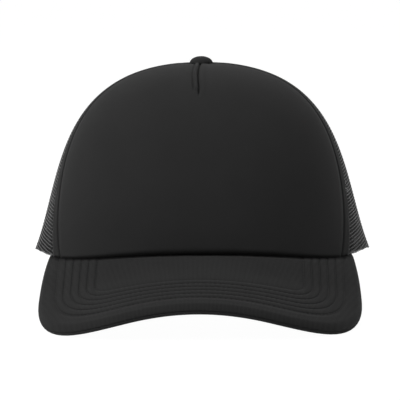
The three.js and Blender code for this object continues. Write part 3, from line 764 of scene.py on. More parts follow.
def cloth_finish(name, colour, pitch, twill=0.0, depth=0.06 * MM, rough=0.85, rib=0.0):
    """Woven cloth: thread relief on the cloth's own flat places, uneven tone, and painted shade in its
    recesses and between its threads.
    """
    material, tree = new_material(name)
    where = object_places(tree)
    flat = place(tree, "ShaderNodeUVMap", uv_map="cloth").outputs[0]
    threads = {"Vector": flat, "Thread Pitch": pitch, "Twill": twill}
    weave = place(tree, "ShaderNodeGroup", threads, node_tree=WEAVE).outputs[0]
    dye = {"Vector": where, "Patch Rate": DYE_PATCH_RATE, "Amount": DYE_UNEVENNESS}
    tone = place(tree, "ShaderNodeGroup", dye, node_tree=TONE)
    # Painted shade: the colour darkens by the mesh's mask of painted shade, in grooves, creases and other
    # recesses
    dark = calculate(tree, "MULTIPLY_ADD", attribute_of(tree, "hollow"), -HOLLOW_SHADE, 1.0)
    # Painted shade and light of the weave: darker where its threads dip, lighter on their tops
    thread = calculate(tree, "MULTIPLY_ADD", weave, WEAVE_SHADE_CONTRAST, WEAVE_SHADE_LEVEL)
    factor = calculate(tree, "MULTIPLY", dark, thread)
    factor = calculate(tree, "MULTIPLY", factor, tone.outputs["Tone"])
    height = weave
    if rib:
        phase = calculate(tree, "MULTIPLY", attribute_of(tree, "rib"), 2 * math.pi / rib)
        wave = calculate(tree, "SINE", phase)
        height = calculate(tree, "MULTIPLY_ADD", wave, RIB_HEIGHT, weave)
        ribbed = calculate(tree, "MULTIPLY_ADD", wave, RIB_CONTRAST, 1.0)
        factor = calculate(tree, "MULTIPLY", factor, ribbed)
    fuzzy = calculate(tree, "MULTIPLY_ADD", tone.outputs["Fuzz"], FUZZ_HEIGHT, height)
    bump = place(tree, "ShaderNodeBump", {"Height": fuzzy, "Distance": depth, "Strength": 1.0})
    inputs = {
        "Base Color": shaded(tree, colour, factor),
        "Roughness": rough,
        "Normal": bump.outputs[0],
        "Sheen Weight": 0.04,
        "Sheen Roughness": 0.5,
        "Specular IOR Level": 0.12,
    }
    close_material(tree, place(tree, "ShaderNodeBsdfPrincipled", inputs).outputs[0])
    return material


def grey(level):
    """A neutral colour from its 0 to 255 screen level."""
    share = (level / 255 + 0.055) / 1.055
    return (share**2.4,) * 3 + (1,)


def yarn_finish(name, colour, rough, rate):
    """Smooth synthetic yarn, with the unevenness of its filaments and the shade painted on its lines."""
    material, tree = new_material(name)
    filaments = {"Vector": object_places(tree), "Scale": rate, "Detail": 3.0}
    noise = place(tree, "ShaderNodeTexNoise", filaments).outputs[0]
    uneven = calculate(tree, "MULTIPLY_ADD", noise, YARN_CONTRAST, YARN_TONE)
    # Painted shade: the colour darkens by the lines' mask of painted shade, on sunk posts, the hem layer
    # behind and the border
    dark = calculate(tree, "MULTIPLY_ADD", attribute_of(tree, "hollow"), -1.0, 1.0)
    bump = place(tree, "ShaderNodeBump", {"Height": noise, "Distance": YARN_RELIEF})
    inputs = {
        "Base Color": shaded(tree, colour, calculate(tree, "MULTIPLY", uneven, dark)),
        "Roughness": calculate(tree, "MULTIPLY_ADD", noise, YARN_GLOSS_CHANGE, rough),
        "Normal": bump.outputs[0],
        "Specular IOR Level": 0.5,
    }
    close_material(tree, place(tree, "ShaderNodeBsdfPrincipled", inputs).outputs[0])
    return material


def moulded_finish(name, colour, rough, metallic=0.0):
    """Moulded plastic or drawn metal: faint flow marks and fine handling scratches."""
    material, tree = new_material(name)
    where = object_places(tree)
    flow = place(tree, "ShaderNodeTexNoise", {"Vector": where, "Scale": 90.0, "Detail": 5.0})
    stretched = place(tree, "ShaderNodeMapping", {"Vector": where, "Scale": SCRATCH_RATES}).outputs[0]
    marks = place(tree, "ShaderNodeTexNoise", {"Vector": stretched, "Scale": 1.0, "Detail": 3.0}).outputs[0]
    bump = place(tree, "ShaderNodeBump", {"Height": marks, "Distance": SCRATCH_RELIEF})
    factor = calculate(tree, "MULTIPLY_ADD", flow.outputs[0], FLOW_CONTRAST, FLOW_TONE)
    inputs = {
        "Base Color": shaded(tree, colour, factor),
        "Roughness": calculate(tree, "MULTIPLY_ADD", marks, SCRATCH_GLOSS_CHANGE, rough),
        "Metallic": metallic,
        "Normal": bump.outputs[0],
    }
    close_material(tree, place(tree, "ShaderNodeBsdfPrincipled", inputs).outputs[0])
    return material


FACE_CLOTH = cloth_finish("face cloth", grey(45), CLOTH_THREAD)
PEAK_CLOTH = cloth_finish("peak cloth", grey(40), CLOTH_THREAD, rib=RIB_PITCH)
UNDER_CLOTH = cloth_finish("under cloth", grey(42), CLOTH_THREAD)
FOAM_LINING = cloth_finish("foam lining", grey(34), 0.9 * MM, depth=0.1 * MM, rough=0.95)
TAPE_TWILL = cloth_finish("tape twill", grey(34), 1.0 * MM, twill=1.0, depth=0.1 * MM)
# The sweatband's own dark grey, set darker than the tapes' to paint the shade on it seen through the net's
# holes
BAND_TWILL = cloth_finish("sweatband twill", grey(30), 1.1 * MM, twill=1.0, depth=0.12 * MM)
NET_YARN = yarn_finish("net yarn", grey(86), 0.3, 1800.0)
SEWING_THREAD = yarn_finish("sewing thread", grey(32), 0.6, 3000.0)
STRAP_PLASTIC = moulded_finish("strap plastic", grey(34), 0.3)
BOARD_PLASTIC = moulded_finish("peak board plastic", grey(205), 0.45)
STEEL = moulded_finish("plated steel", grey(150), 0.25, metallic=1.0)

STRANDS = strand_tree()
STITCHES = stitch_tree()
REPEATS = repeat_tree()


def stitching(name, rows, body, slot):
    """Rows of stitches. Each row is a line of points and the cloth's normals along it."""
    lines = line_mesh(name, [row[0] for row in rows], up=[row[1] for row in rows])
    piece = new_piece(name, lines, SEWING_THREAD)
    grow(piece, STITCHES, pitch=STITCH_PITCH, stitch=STITCH, thread_radius=THREAD, finish=SEWING_THREAD)
    return dress(piece, body, slot)


def crown_row(turn, climb, inset, inward=False):
    """A line on the crown for stitches, seen from outside, or from inside if it is inward."""
    up = crown_normal(turn, climb)
    return crown_point(turn, climb, inset), -up if inward else up


# Front panel

def front_places(margin, tip, lift):
    """Places over the front panel: azimuth, climb, distance from its middle and its half width."""
    rows = spread(*PANEL_ROW_ZONES)
    rows = rows / rows[-1]
    columns = spread(*PANEL_COLUMN_ZONES)
    columns = columns / columns[-1]
    (middle_zone, middle_count), _, (side_zone, side_count) = PANEL_COLUMN_ZONES
    knots = columns[[0, middle_count, -1 - side_count, -1]]
    top = tip_climb(np.array(0.0), 0.0, tip)
    turns = []
    acrosses = []
    halves = []
    for row in rows:
        samples = np.linspace(0, front_seam(row * top), SEAM_SAMPLES)
        reach = distances(outer_point(samples, row * top))
        half = reach[-1] - margin
        middle = min(middle_zone, LARGEST_ZONE_SHARE * half)
        side = min(side_zone, LARGEST_ZONE_SHARE * half)
        places = np.interp(columns, knots, [0, middle, half - side, half])
        turns.append(np.interp(places, reach, samples))
        acrosses.append(places)
        halves.append(half)
    lefts = (np.array(turns), np.array(acrosses))
    turn, across = (np.concatenate([-left[:, :0:-1], left], axis=1).T for left in lefts)
    half = np.ones_like(across) * halves
    low = hem_climb(turn[:, :1], 0.0, lift) * np.ones(len(rows))
    climb = mix(low, tip_climb(turn, 0.0, tip), rows)
    return turn, climb, across, half


def ripple(x, y, z):
    """A slight unevenness of sewn cloth, about 1 high, in waves."""
    slow = np.sin(61 * x + 38 * z + 1.3) * np.sin(47 * z - 29 * x + 0.4)
    quick = np.sin(143 * x - 88 * z + 2.1) * np.sin(121 * z + 67 * y)
    return 0.7 * slow + 0.3 * quick


def edge_relief(edge):
    """The strip along the panel's edges, the groove beside it and the turned-in edge, with the shade
    painted on them.
    """
    strip_end = [EDGE_STRIP + fall for fall in EDGE_STRIP_FALL]
    strip = ease(edge, 0, EDGE_ROLL_WIDTH) * (1 - ease(edge, *strip_end))
    groove = bell(edge - EDGE_STRIP, EDGE_GROOVE_WIDTH)
    lip = bell(edge - EDGE_STRIP - GROOVE_LIP_PLACE, GROOVE_LIP_WIDTH)
    roll = (1 - np.clip(edge / EDGE_ROLL_WIDTH, 0, 1)) ** 2
    relief = EDGE_STRIP_RISE * strip - EDGE_GROOVE_DEPTH * groove - EDGE_ROLL * roll + GROOVE_LIP * lip
    on_strip = 1 - ease(edge, EDGE_STRIP - MM, EDGE_STRIP)
    return relief, GROOVE_SHADE * groove + STRIP_SHADE * on_strip + ROLL_SHADE * roll


def foot_relief(x, lift):
    """The panel's foot, rolled in where it meets the peak, with the shade painted in its crease."""
    front = middling(x)
    low = 1 - np.clip(lift / (FOOT_ROLL_HEIGHT * mix(*FOOT_HEIGHT_SHARES, front)), 0, 1)
    relief = -FOOT_ROLL * (1 - np.sqrt(1 - FOOT_ROUNDNESS * low**2))
    return relief, ease(low, CREASE_START, mix(*CREASE_FULL, front))


def near_button(radius):
    """1 under the button and 0 past its dimple."""
    return 1 - ease(radius, BUTTON_DIMPLE_REACH / 2, BUTTON_DIMPLE_REACH)


def dart_relief(across, radius):
    """The dart: a cleft with a fold on one side and a swell on the other, with the shade painted in them.
    """
    offset = DART_OFFSET * ease(radius, 0, DART_START[1]) + DART_WANDER * np.sin(radius / DART_WAVE)
    line = across - offset
    beyond = line + DART_FOLD_WIDTH
    on_dart = 1 - ease(radius, DART_REACH - DART_FADE, DART_REACH)
    on_fold = 1 - ease(radius, DART_FOLD_REACH - DART_FOLD_FADE, DART_FOLD_REACH)
    cleft = bell(line, DART_WIDTH) * on_dart
    swell = bell(line - DART_SWELL_PLACE, DART_SWELL_WIDTH) * on_dart
    fold = ease(beyond, -DART_FOLD_EDGE, DART_FOLD_EDGE) * (1 - ease(line, -DART_FOLD_LIP, 0)) * on_fold
    beside = bell(beyond + FOLD_LINE_PLACE, FOLD_LINE_WIDTH) * on_fold
    flattened = mix(1, DART_RISE_AT_BUTTON, near_button(radius))
    raised = (DART_FOLD_HEIGHT * fold + DART_SWELL * swell) * flattened
    sunk = DART_DEPTH * cleft + FOLD_LINE * beside
    pinch = ease(radius, *DART_START)
    return (raised - sunk) * pinch, (DART_SHADE * cleft + FOLD_LINE_SHADE * beside) * pinch


def front_relief(points, across, half, lift):
    """How far the front panel stands out from its plain form, and how much shade is painted on it."""
    x, y, z = np.moveaxis(points, -1, 0)
    radius = from_axis(points)
    edge = half - np.abs(across)
    reliefs, shades = zip(edge_relief(edge), foot_relief(x, lift), dart_relief(across, radius))
    inside = ease(edge, EDGE_STRIP, 3 * EDGE_STRIP) * ease(lift, 0, RIPPLE_RUN)
    relief = sum(reliefs) + RIPPLE * ripple(x, y, z) * inside - BUTTON_DIMPLE * near_button(radius)
    return relief, np.clip(sum(shades), 0, 1)


def between(table, places, count):
    """A table's values at evenly spread places along its first axis, from its values at a few of them."""
    return np.stack([np.interp(np.arange(count), places, line) for line in table.T], -1)


def pressed_out(start, held):
    """A grid of cloth after its padding has pressed it out from inside, held at some places. Simulated."""
    index = np.arange(start[..., 0].size).reshape(start.shape[:2])
    faces = np.stack([index[:-1, :-1], index[1:, :-1], index[1:, 1:], index[:-1, 1:]], -1).reshape(-1, 4)
    mesh = bpy.data.meshes.new("swelling_cloth")
    mesh.from_pydata(start.reshape(-1, 3).tolist(), [], faces.tolist())
    piece = bpy.data.objects.new("swelling_cloth", mesh)
    scene = bpy.context.scene
    scene.collection.objects.link(piece)
    piece.vertex_groups.new(name="held").add(index[held].tolist(), 1.0, "REPLACE")
    cloth = piece.modifiers.new("cloth", "CLOTH")
    settings = cloth.settings
    settings.vertex_group_mass = "held"
    settings.quality = 6
    settings.mass = 0.2
    settings.tension_stiffness = settings.compression_stiffness = 12
    settings.shear_stiffness = 6
    settings.bending_stiffness = 0.6
    settings.shrink_min = -CLOTH_EASE
    settings.use_pressure = True
    settings.uniform_pressure_force = PAD_PRESSURE
    settings.effector_weights.gravity = 0
    cloth.point_cache.frame_end = CLOTH_FRAMES
    for step in range(1, CLOTH_FRAMES + 1):
        scene.frame_set(step)
    seen = piece.evaluated_get(bpy.context.evaluated_depsgraph_get())
    moved = np.empty(start.size, np.float32)
    seen.data.vertices.foreach_get("co", moved)
    scene.frame_set(1)
    bpy.data.objects.remove(piece)
    bpy.data.meshes.remove(mesh)
    return moved.reshape(start.shape)


def cloth_swell(turn, climb):
    """How far the front panel swells over its padding, from a simulation on a coarse copy."""
    columns, rows = (
        np.unique(np.linspace(0, count - 1, CLOTH_GRID).round().astype(int)) for count in turn.shape
    )
    coarse = np.ix_(columns, rows)
    start = outer_point(turn[coarse], climb[coarse])
    held = np.zeros(start.shape[:2], bool)
    held[[0, 1, -2, -1]] = True
    held[:, [0, -1]] = True
    away = np.sum((pressed_out(start, held) - start) * crown_normal(turn[coarse], climb[coarse]), axis=-1)
    away = SWELL_CAP * np.tanh(away / SWELL_CAP)
    fine = between(between(away, columns, turn.shape[0]).T, rows, turn.shape[1]).T
    for _ in range(CLOTH_SMOOTHING):
        fine[1:-1] = (fine[:-2] + 2 * fine[1:-1] + fine[2:]) / 4
        fine[:, 1:-1] = (fine[:, :-2] + 2 * fine[:, 1:-1] + fine[:, 2:]) / 4
    return fine


def front_panel():
    """The face cloth, laid over the foam, with its strip, dart, foot and swell."""
    turn, climb, across, half = front_places(SEAM_GAP / 2, PANEL_TIP, 0.0)
    plain = outer_point(turn, climb)
    lift = distances(plain)
    # The second result is the painted shade of the groove, strip, turned edge, dart and crease
    relief, hollow = front_relief(plain, across, half, lift)
    inside = ease(half - np.abs(across), EDGE_STRIP, 2 * EDGE_STRIP)
    inside = inside * ease(from_axis(plain), BUTTON_DIMPLE_REACH / 2, 2 * BUTTON_DIMPLE_REACH)
    relief += cloth_swell(turn, climb) * inside
    face = crown_point(turn, climb, -relief)
    back = crown_point(turn, climb, FABRIC - relief)
    mesh = closed_sheet("front_panel", face, back, np.stack([across, lift], -1), hollow)
    piece = dress(new_piece("front_panel", mesh, FACE_CLOTH), "crown", "face_cloth", "front_panel_fabric")


def front_foam():
    """The panel's padding: it follows the cloth's relief, thins at its edges and is pinched by the dart."""
    margin = TAPE_WIDTH / 2 + SEAM_GAP
    turn, climb, across, half = front_places(margin, FOAM_TIP, FOAM_FOOT)
    plain = outer_point(turn, climb)
    lift = distances(plain)
    relief, _ = front_relief(plain, across, half + margin, lift + FOAM_FOOT)
    edge = np.minimum(half - np.abs(across), np.minimum(lift, lift[:, -1:] - lift))
    thin = (1 - np.clip(edge / FOAM_EDGE, 0, 1)) ** 2
    on_dart = 1 - ease(from_axis(plain), DART_REACH - FOAM_DART_FADE, DART_REACH)
    pinched = bell(across, FOAM_DART_WIDTH) * on_dart
    face_inset = FABRIC + LAYER_GAP
    face = crown_point(turn, climb, face_inset - relief + FOAM_EDGE_THINNING[0] * thin)
    thinning = FOAM_EDGE_THINNING[1] * thin + FOAM_DART_DEPTH * pinched
    back = crown_point(turn, climb, face_inset + FOAM - thinning)
    # Painted shade where the foam thins at its edges and in the dart's pinch
    hollow = np.clip(thin + pinched, 0, 1)
    mesh = closed_sheet("front_foam", face, back, np.stack([across, lift], -1), hollow)
    piece = dress(new_piece("front_foam", mesh, FOAM_LINING), "crown", "foam", "front_panel_foam")


def seam_row(seam, offset, inset, run, inward=False):
    """A stitch row beside a seam, an offset from it towards the back, over a run of climbs."""
    climb = np.linspace(*run, ROW_POINTS)
    turn = seam(climb) + offset / from_axis(outer_point(seam(climb), climb))
    return crown_row(turn, climb, inset, inward)


def both_sides(rows):
    """Stitch rows with their twins on the other side of the cap."""
    flip = np.array([-1, 1, 1])
    return rows + [(points * flip, normals * flip) for points, normals in rows]


front_panel()
front_foam()
edge_row = seam_row(front_seam, -EDGE_STRIP - SEAM_GAP / 2, EDGE_STITCH_SINK, SEAM_RUN)
stitching("front_seam_stitching", both_sides([edge_row]), "crown", "face_cloth")


# Net panels

def cloth_frame(middle, samples=600):
    """Turns flat places on a panel's cloth into azimuth and climb. Its grain follows one meridian."""
    climbs = np.linspace(LOWEST_CLIMB, 1, samples)
    lengths = distances(outer_point(np.full(samples, middle), climbs))
    lengths = lengths - np.interp(0, climbs, lengths)

    def find(flat):
        climb = np.interp(flat[..., 1], lengths, climbs)
        turn = np.full(climb.shape, middle)
        for _ in range(PLACING_ROUNDS):
            radius = from_axis(outer_point((turn + middle) / 2, climb))
            turn = middle + flat[..., 0] / np.maximum(radius, MM)
        return turn, climb

    return find


def panel_room(start, end, opened):
    """How far inside a net panel's edges a place on the crown lies."""

    def room(turn, climb):
        x, y, z = np.moveaxis(outer_point(turn, climb), -1, 0)
        radius = np.hypot(x, y)
        sides = np.minimum(turn - start(climb), end(climb) - turn) * radius - SEAM_GAP
        least = np.minimum(sides, np.minimum(z - hem_level(x, y) - SEAM_GAP, radius - PANEL_TIP))
        if opened:
            wide = np.abs(x) / (OPENING_HALF_WIDTH + SEAM_GAP)
            tall = np.maximum(z, 0) / (OPENING_HEIGHT + SEAM_GAP)
            ring = (wide**OPENING_SQUARENESS + tall**OPENING_SQUARENESS) ** (1 / OPENING_SQUARENESS)
            least = np.minimum(least, (ring - 1) * OPENING_HALF_WIDTH)
        return least

    return room


def flat_net(width, height, grain=0.0):
    """Edges of a flat net of six-sided holes, as pairs of places, and a 1 for each one that is a post."""
    side = NET_PITCH / math.sqrt(3)
    reach = int(width / NET_PITCH) + 1
    spare = 2 + int(width * math.sin(grain) / side)
    columns = np.arange(-reach, reach + 1)
    rows = np.arange(-spare, int(height / side / 1.5) + spare)
    i, j = np.meshgrid(columns, rows, indexing="ij")
    raised = (i + j) % 2 == 0
    zigzag = np.where(raised, NET_ZIGZAG_SHARE, -NET_ZIGZAG_SHARE)
    flat = np.stack([i * NET_PITCH / 2, (1.5 * j + zigzag) * side], -1)
    turn = np.array([[math.cos(grain), math.sin(grain)], [-math.sin(grain), math.cos(grain)]])
    flat = flat @ turn
    rungs = np.stack([flat[:-1], flat[1:]], 2).reshape(-1, 2, 2)
    posts = np.stack([flat[:, :-1][raised[:, :-1]], flat[:, 1:][raised[:, :-1]]], 1)
    return np.concatenate([rungs, posts]), np.repeat([0.0, 1.0], [len(rungs), len(posts)])


def trimmed(edges, post, find, room):
    """The edges that lie inside the panel, with those that cross its edge cut there."""
    spare = np.stack([room(*find(edges[:, end])) for end in range(2)], 1)
    kept = spare.max(axis=1) > 0
    edges, post, spare = edges[kept], post[kept], spare[kept]
    outward = spare[:, 0] < spare[:, 1]
    edges[outward] = edges[outward][:, ::-1]
    inside, outside = edges[:, 0], edges[:, 1]
    low = np.zeros(len(edges))
    high = np.ones(len(edges))
    for _ in range(HALVINGS // 2):
        middle = (low + high) / 2
        within = room(*find(mix(inside, outside, middle[:, None]))) > 0
        low = np.where(within, middle, low)
        high = np.where(within, high, middle)
    crossing = spare.min(axis=1) <= 0
    cut = mix(inside, outside, low[:, None])
    edges[:, 1] = np.where(crossing[:, None], cut, outside)
    return edges, post


def net_border(start, end, opened):
    """The panel's turned edges: up one seam and down the other, and along the hem."""
    climb = np.linspace(*BORDER_RUN, BORDER_POINTS[0])
    step = 1.5 * SEAM_GAP / from_axis(outer_point(start(climb), climb))
    lines = [crown_point(start(climb) + step, climb, NET / 2)]
    if opened:
        above = outer_point(end(climb), climb)[..., 2] > OPENING_HEIGHT
        lines.append(crown_point(end(climb[above]) - BORDER_STEP, climb[above], NET / 2))
    else:
        lines.append(crown_point(end(climb) - step, climb, NET / 2))
    last = OPENING_TURN if opened else end(0.0)
    turn = np.linspace(float(start(0.0)), float(last), BORDER_POINTS[1])
    lines.append(crown_point(turn, hem_climb(turn, NET / 2, BORDER_LIFT), NET / 2))
    return lines


def net_panel(start, end, opened, nodes):
    """A side or back panel, and its twin on the other side."""
    find = cloth_frame(float((start(GRAIN_CLIMB) + end(GRAIN_CLIMB)) / 2))
    room = panel_room(start, end, opened)
    edges, post = trimmed(*flat_net(*NET_CLOTH, NET_GRAIN), find, room)
    hem_edges, hem_post = trimmed(*flat_net(NET_CLOTH[0], HEM_NET_HEIGHT), find, room)
    net = crown_point(*find(edges), NET_DEPTH + POST_SINK * post[:, None])
    hem_net = crown_point(*find(hem_edges), HEM_NET_DEPTH)
    border = net_border(start, end, opened)
    lines = [*net, *hem_net, *border]
    thickness = 1 - POST_THINNING * np.concatenate([post, hem_post])
    # Painted shade: the sunk posts and the hem's layer behind are darkened, and the turned border too
    shade = np.concatenate([POST_SHADE * post, mix(*HEM_NET_SHADE, hem_post)])
    gauges = [np.full(2, value) for value in thickness]
    gauges += [np.full(len(line), BORDER_GAUGE) for line in border]
    painted_shades = [np.full(2, value) for value in shade]
    painted_shades += [np.full(len(line), BORDER_SHADE) for line in border]
    for side, node in zip((1, -1), nodes):
        flip = np.array([side, 1, 1])
        mesh = line_mesh(f"{node}_net", [line * flip for line in lines], gauge=gauges, hollow=painted_shades)
        piece = new_piece(f"{node}_net", mesh, NET_YARN)
        grow(piece, STRANDS, strand_radius=STRAND, sides=5, finish=NET_YARN)
        dress(piece, "crown", "net", node)


net_panel(front_seam, rear_seam, False, ("left_side_mesh", "right_side_mesh"))
net_panel(rear_seam, back_seam, True, ("left_back_mesh", "right_back_mesh"))


# Tapes, inside the crown

TAPE_INSET = NET + LAYER_GAP
TAPE_TIP = 6.2 * MM
TAPE_TIP_SHARE = 0.4
TAPE_TIP_MARGIN = 0.2 * MM
TAPE_RIDGE = 0.42 * MM
TAPE_RIDGE_WIDTH = 2.2 * MM
TAPE_EDGE = 0.2 * MM
TAPE_START = 0.004
TAPE_EDGE_POWER = 6
TAPE_COLUMNS = 13
SEAM_TAPE_LENGTH = 135 * MM
CENTRE_TAPE_LENGTH = 70 * MM
HEM_TAPE = 0.3 * MM
HEM_TAPE_INSET = 1.15 * NET
HEM_TAPE_HEIGHT = 10.5 * MM
HEM_TAPE_LENGTH = 165 * MM
HEM_TAPE_LIFT = 0.15 * MM
HEM_TAPE_MARGINS = (0.02, 0.01)
HEM_TAPE_GRID = (150, 9)
SEAM_STITCH_PLACE = 2.6 * MM
NET_EDGE_STITCH_PLACE = 2.2 * MM
TAPE_STITCH_PLACE = 4.4 * MM
TAPE_STITCH_RUN = (0.24, 0.9)


def seam_tape(seam, foot, rows=80):
    """A flat tape over a seam's turned edges, narrowing under the button."""
    top = float(tip_climb(seam(np.array(1.0)), TAPE_INSET, TAPE_TIP))
    climb = mix(foot, top, np.linspace(0, 1, rows))
    point = outer_point(seam(climb), climb)
    radius = from_axis(point)
    half = np.minimum(TAPE_WIDTH / 2, TAPE_TIP_SHARE * radius - TAPE_TIP_MARGIN)
    across = np.linspace(-1, 1, TAPE_COLUMNS)[:, None]
    turn = seam(climb) + across * half / radius
    climbs = climb * np.ones_like(across)
    ridge = TAPE_RIDGE * bell(across * half, TAPE_RIDGE_WIDTH)
    thin = TAPE_EDGE * np.abs(across) ** TAPE_EDGE_POWER
    cloth = np.stack([across * half, distances(point) * np.ones_like(across)], -1)
    face = crown_point(turn, climbs, TAPE_INSET + thin)
    back = crown_point(turn, climbs, TAPE_INSET + TAPE + ridge - thin)
    return face, back, cloth


def tape_piece(mesh, flat, cover, *nodes):
    """A tape in its place. Cover, the share of its flat size that is left where it narrows, is not used."""
    piece = dress(new_piece(mesh.name, mesh, TAPE_TWILL), "crown", "tape", *nodes)


def hem_tape():
    """A flat tape over the nets' cut hem, inside, from each front seam to the back opening."""
    start = float(front_seam(0.0)) + HEM_TAPE_MARGINS[0]
    turn = np.linspace(start, OPENING_TURN - HEM_TAPE_MARGINS[1], HEM_TAPE_GRID[0])[:, None]
    lift = np.linspace(HEM_TAPE_LIFT, HEM_TAPE_HEIGHT, HEM_TAPE_GRID[1])
    under = HEM_TAPE_INSET + HEM_TAPE
    face = crown_point(turn, hem_climb(turn, HEM_TAPE_INSET, lift), HEM_TAPE_INSET)
    back = crown_point(turn, hem_climb(turn, under, lift), under)
    cloth = np.stack([turn * HEM_HALF_WIDTH * np.ones_like(lift), lift * np.ones_like(turn)], -1)
    mesh = closed_sheet("left_hem_tape", face, back, cloth)
    for tape in (mesh, mirror_mesh(mesh, "right_hem_tape")):
        tape_piece(tape, (HEM_TAPE_LENGTH, HEM_TAPE_HEIGHT), 1.0)


def seam_tapes():
    """The five seam tapes. Returns the climb at the foot of the one above the opening."""
    for name, seam in (("front_seam_tape", front_seam), ("rear_seam_tape", rear_seam)):
        mesh = closed_sheet(f"left_{name}_cloth", *seam_tape(seam, TAPE_START))
        twin = mirror_mesh(mesh, f"right_{name}_cloth")
        for side, tape in (("left", mesh), ("right", twin)):
            tape_piece(tape, (TAPE_WIDTH, SEAM_TAPE_LENGTH), 0.9, f"{side}_{name}")
    foot = OPENING_HEIGHT + BINDING_LEG + OPENING_CLEARANCE
    above = float(climb_at_height(np.array(math.pi), foot, TAPE_INSET))
    mesh = closed_sheet("centre_back_seam_tape_cloth", *seam_tape(back_seam, above, rows=50))
    tape_piece(mesh, (TAPE_WIDTH, CENTRE_TAPE_LENGTH), 0.8, "centre_back_seam_tape")
    return above


def row_pair(seam, offset, inset, run, inward=False):
    """Stitch rows on both sides of a seam, over a run of climbs."""
    return [seam_row(seam, side * offset, inset, run, inward) for side in (-1, 1)]


def seam_stitching(tape_foot):
    """The rows beside the seams outside, and along the tapes' edges inside."""
    outside = row_pair(rear_seam, SEAM_STITCH_PLACE, STITCH_SINK, SEAM_RUN)
    outside.append(seam_row(front_seam, NET_EDGE_STITCH_PLACE, STITCH_SINK, SEAM_RUN))
    stitching("net_seam_stitching", both_sides(outside), "crown", "net")
    centre = row_pair(back_seam, SEAM_STITCH_PLACE, STITCH_SINK, (tape_foot, SEAM_RUN[1]))
    stitching("centre_back_stitching", centre, "crown", "net")
    depth = TAPE_INSET + TAPE
    tapes = []
    for seam in (front_seam, rear_seam):
        tapes += row_pair(seam, TAPE_STITCH_PLACE, depth, TAPE_STITCH_RUN, inward=True)
    centre_run = (tape_foot, TAPE_STITCH_RUN[1])
    centre = row_pair(back_seam, TAPE_STITCH_PLACE, depth, centre_run, inward=True)
    stitching("tape_stitching", both_sides(tapes) + centre, "crown", "tape")


hem_tape()
seam_stitching(seam_tapes())


# Back opening binding

FOLD_ROOM = 0.02 * MM
BINDING_STITCH_PLACE = BINDING_LEG - 1.6 * MM
THREAD_LIFT = 0.03 * MM
LOWEST_STITCH = 0.4 * MM
BINDING_ROW_MARGIN = 0.02
BINDING_ROW_POINTS = 160
BINDING_RINGS = 110
LEG_POINTS = 8
FOLD_POINTS = 11


def opening_outline(turn, grow_by):
    """The back opening's outline, as distance across and height, with a margin round it."""
    power = 2 / OPENING_SQUARENESS
    across = np.sign(np.cos(turn)) * np.abs(np.cos(turn)) ** power * (OPENING_HALF_WIDTH + grow_by)
    return across, np.abs(np.sin(turn)) ** power * (OPENING_HEIGHT + grow_by)


def turn_behind(across, height, inset):
    """The azimuth behind the head at a distance across, a height and an inset."""
    turn = math.pi - np.arcsin(across / HEM_BACK_DEPTH)
    for _ in range(PLACING_ROUNDS):
        point = crown_point(turn, climb_at_height(turn, height, inset), inset)
        turn = turn + (across - point[..., 0]) / from_axis(point) / np.cos(turn)
    return turn


def binding_row(inset, inward=False):
    """A stitch row along a leg of the binding."""
    turns = np.linspace(BINDING_ROW_MARGIN, math.pi - BINDING_ROW_MARGIN, BINDING_ROW_POINTS)
    across, height = opening_outline(turns, BINDING_STITCH_PLACE)
    height = np.maximum(height, LOWEST_STITCH)
    turn = turn_behind(across, height, inset)
    return crown_row(turn, climb_at_height(turn, height, inset), inset, inward)


def back_binding():
    """A tape folded round the opening's edge, a leg outside and a leg inside."""
    outer_face = -LAYER_GAP - BINDING
    inner_face = TAPE_INSET + BINDING
    middle = (outer_face + inner_face) / 2
    depth = (inner_face - outer_face) / 2
    fold = np.linspace(-0.5, 0.5, FOLD_POINTS) * math.pi
    legs = np.linspace(BINDING_LEG, 0, LEG_POINTS + 1)[:-1]
    outer = [(leg, outer_face) for leg in legs]
    outer += [(-BINDING * np.cos(a), middle + depth * np.sin(a)) for a in fold]
    outer += [(leg, inner_face) for leg in legs[::-1]]
    inner = [(leg, inner_face - BINDING) for leg in legs]
    inner += [(FOLD_ROOM * np.cos(a), middle - (depth - BINDING) * np.sin(a)) for a in fold]
    inner += [(leg, outer_face + BINDING) for leg in legs[::-1]]
    section = np.array(outer + inner)
    reach, inset = section.T
    turns = np.linspace(0, math.pi, BINDING_RINGS)[:, None]
    across, height = opening_outline(turns, reach)
    inset = inset * np.ones_like(across)
    turn = turn_behind(across, height, inset)
    rings = crown_point(turn, climb_at_height(turn, height, inset), inset)
    along = distances(rings[:, 0])[:, None] * np.ones_like(across)
    around = distances(section) * np.ones_like(across)
    mesh = closed_bar("back_opening_binding_tape", rings, np.stack([around, along], -1))
    piece = new_piece("back_opening_binding_tape", mesh, TAPE_TWILL)
    dress(piece, "crown", "binding", "back_opening_binding")
    rows = [binding_row(outer_face - THREAD_LIFT), binding_row(inner_face + THREAD_LIFT, inward=True)]
    stitching("binding_stitching", rows, "crown", "binding")


back_binding()


# Sweatband

FRONT_STACK = FABRIC + LAYER_GAP + FOAM
TAB_INSET = TAPE_INSET + BINDING + LAYER_GAP
BAND_BACK = TAB_INSET + STRAP + LAYER_GAP
BAND_FRONT = FRONT_STACK + LAYER_GAP + SEAM_GAP / 2
BAND_SIDE = TAPE_INSET + TAPE + LAYER_GAP
BAND_EASE = BAND_HEIGHT / HEM_HALF_WIDTH
BAND_END = math.pi - (OPENING_HALF_WIDTH + OPENING_CLEARANCE) / HEM_BACK_DEPTH
TAB_END = math.pi - (OPENING_HALF_WIDTH + TAB_LENGTH) / HEM_BACK_DEPTH
FOAM_END = front_seam(BAND_HEIGHT / CROWN_HEIGHT)
BAND_ZONES = ((1.5 * MM, 3), (3 * MM, 6), (19.5 * MM, 8), (4 * MM, 8), (2 * MM, 4))
BAND_STITCH_LOW = 3 * MM
BAND_STITCH_HIGH = 26 * MM
BAND_STITCH_SINK = 0.3 * MM
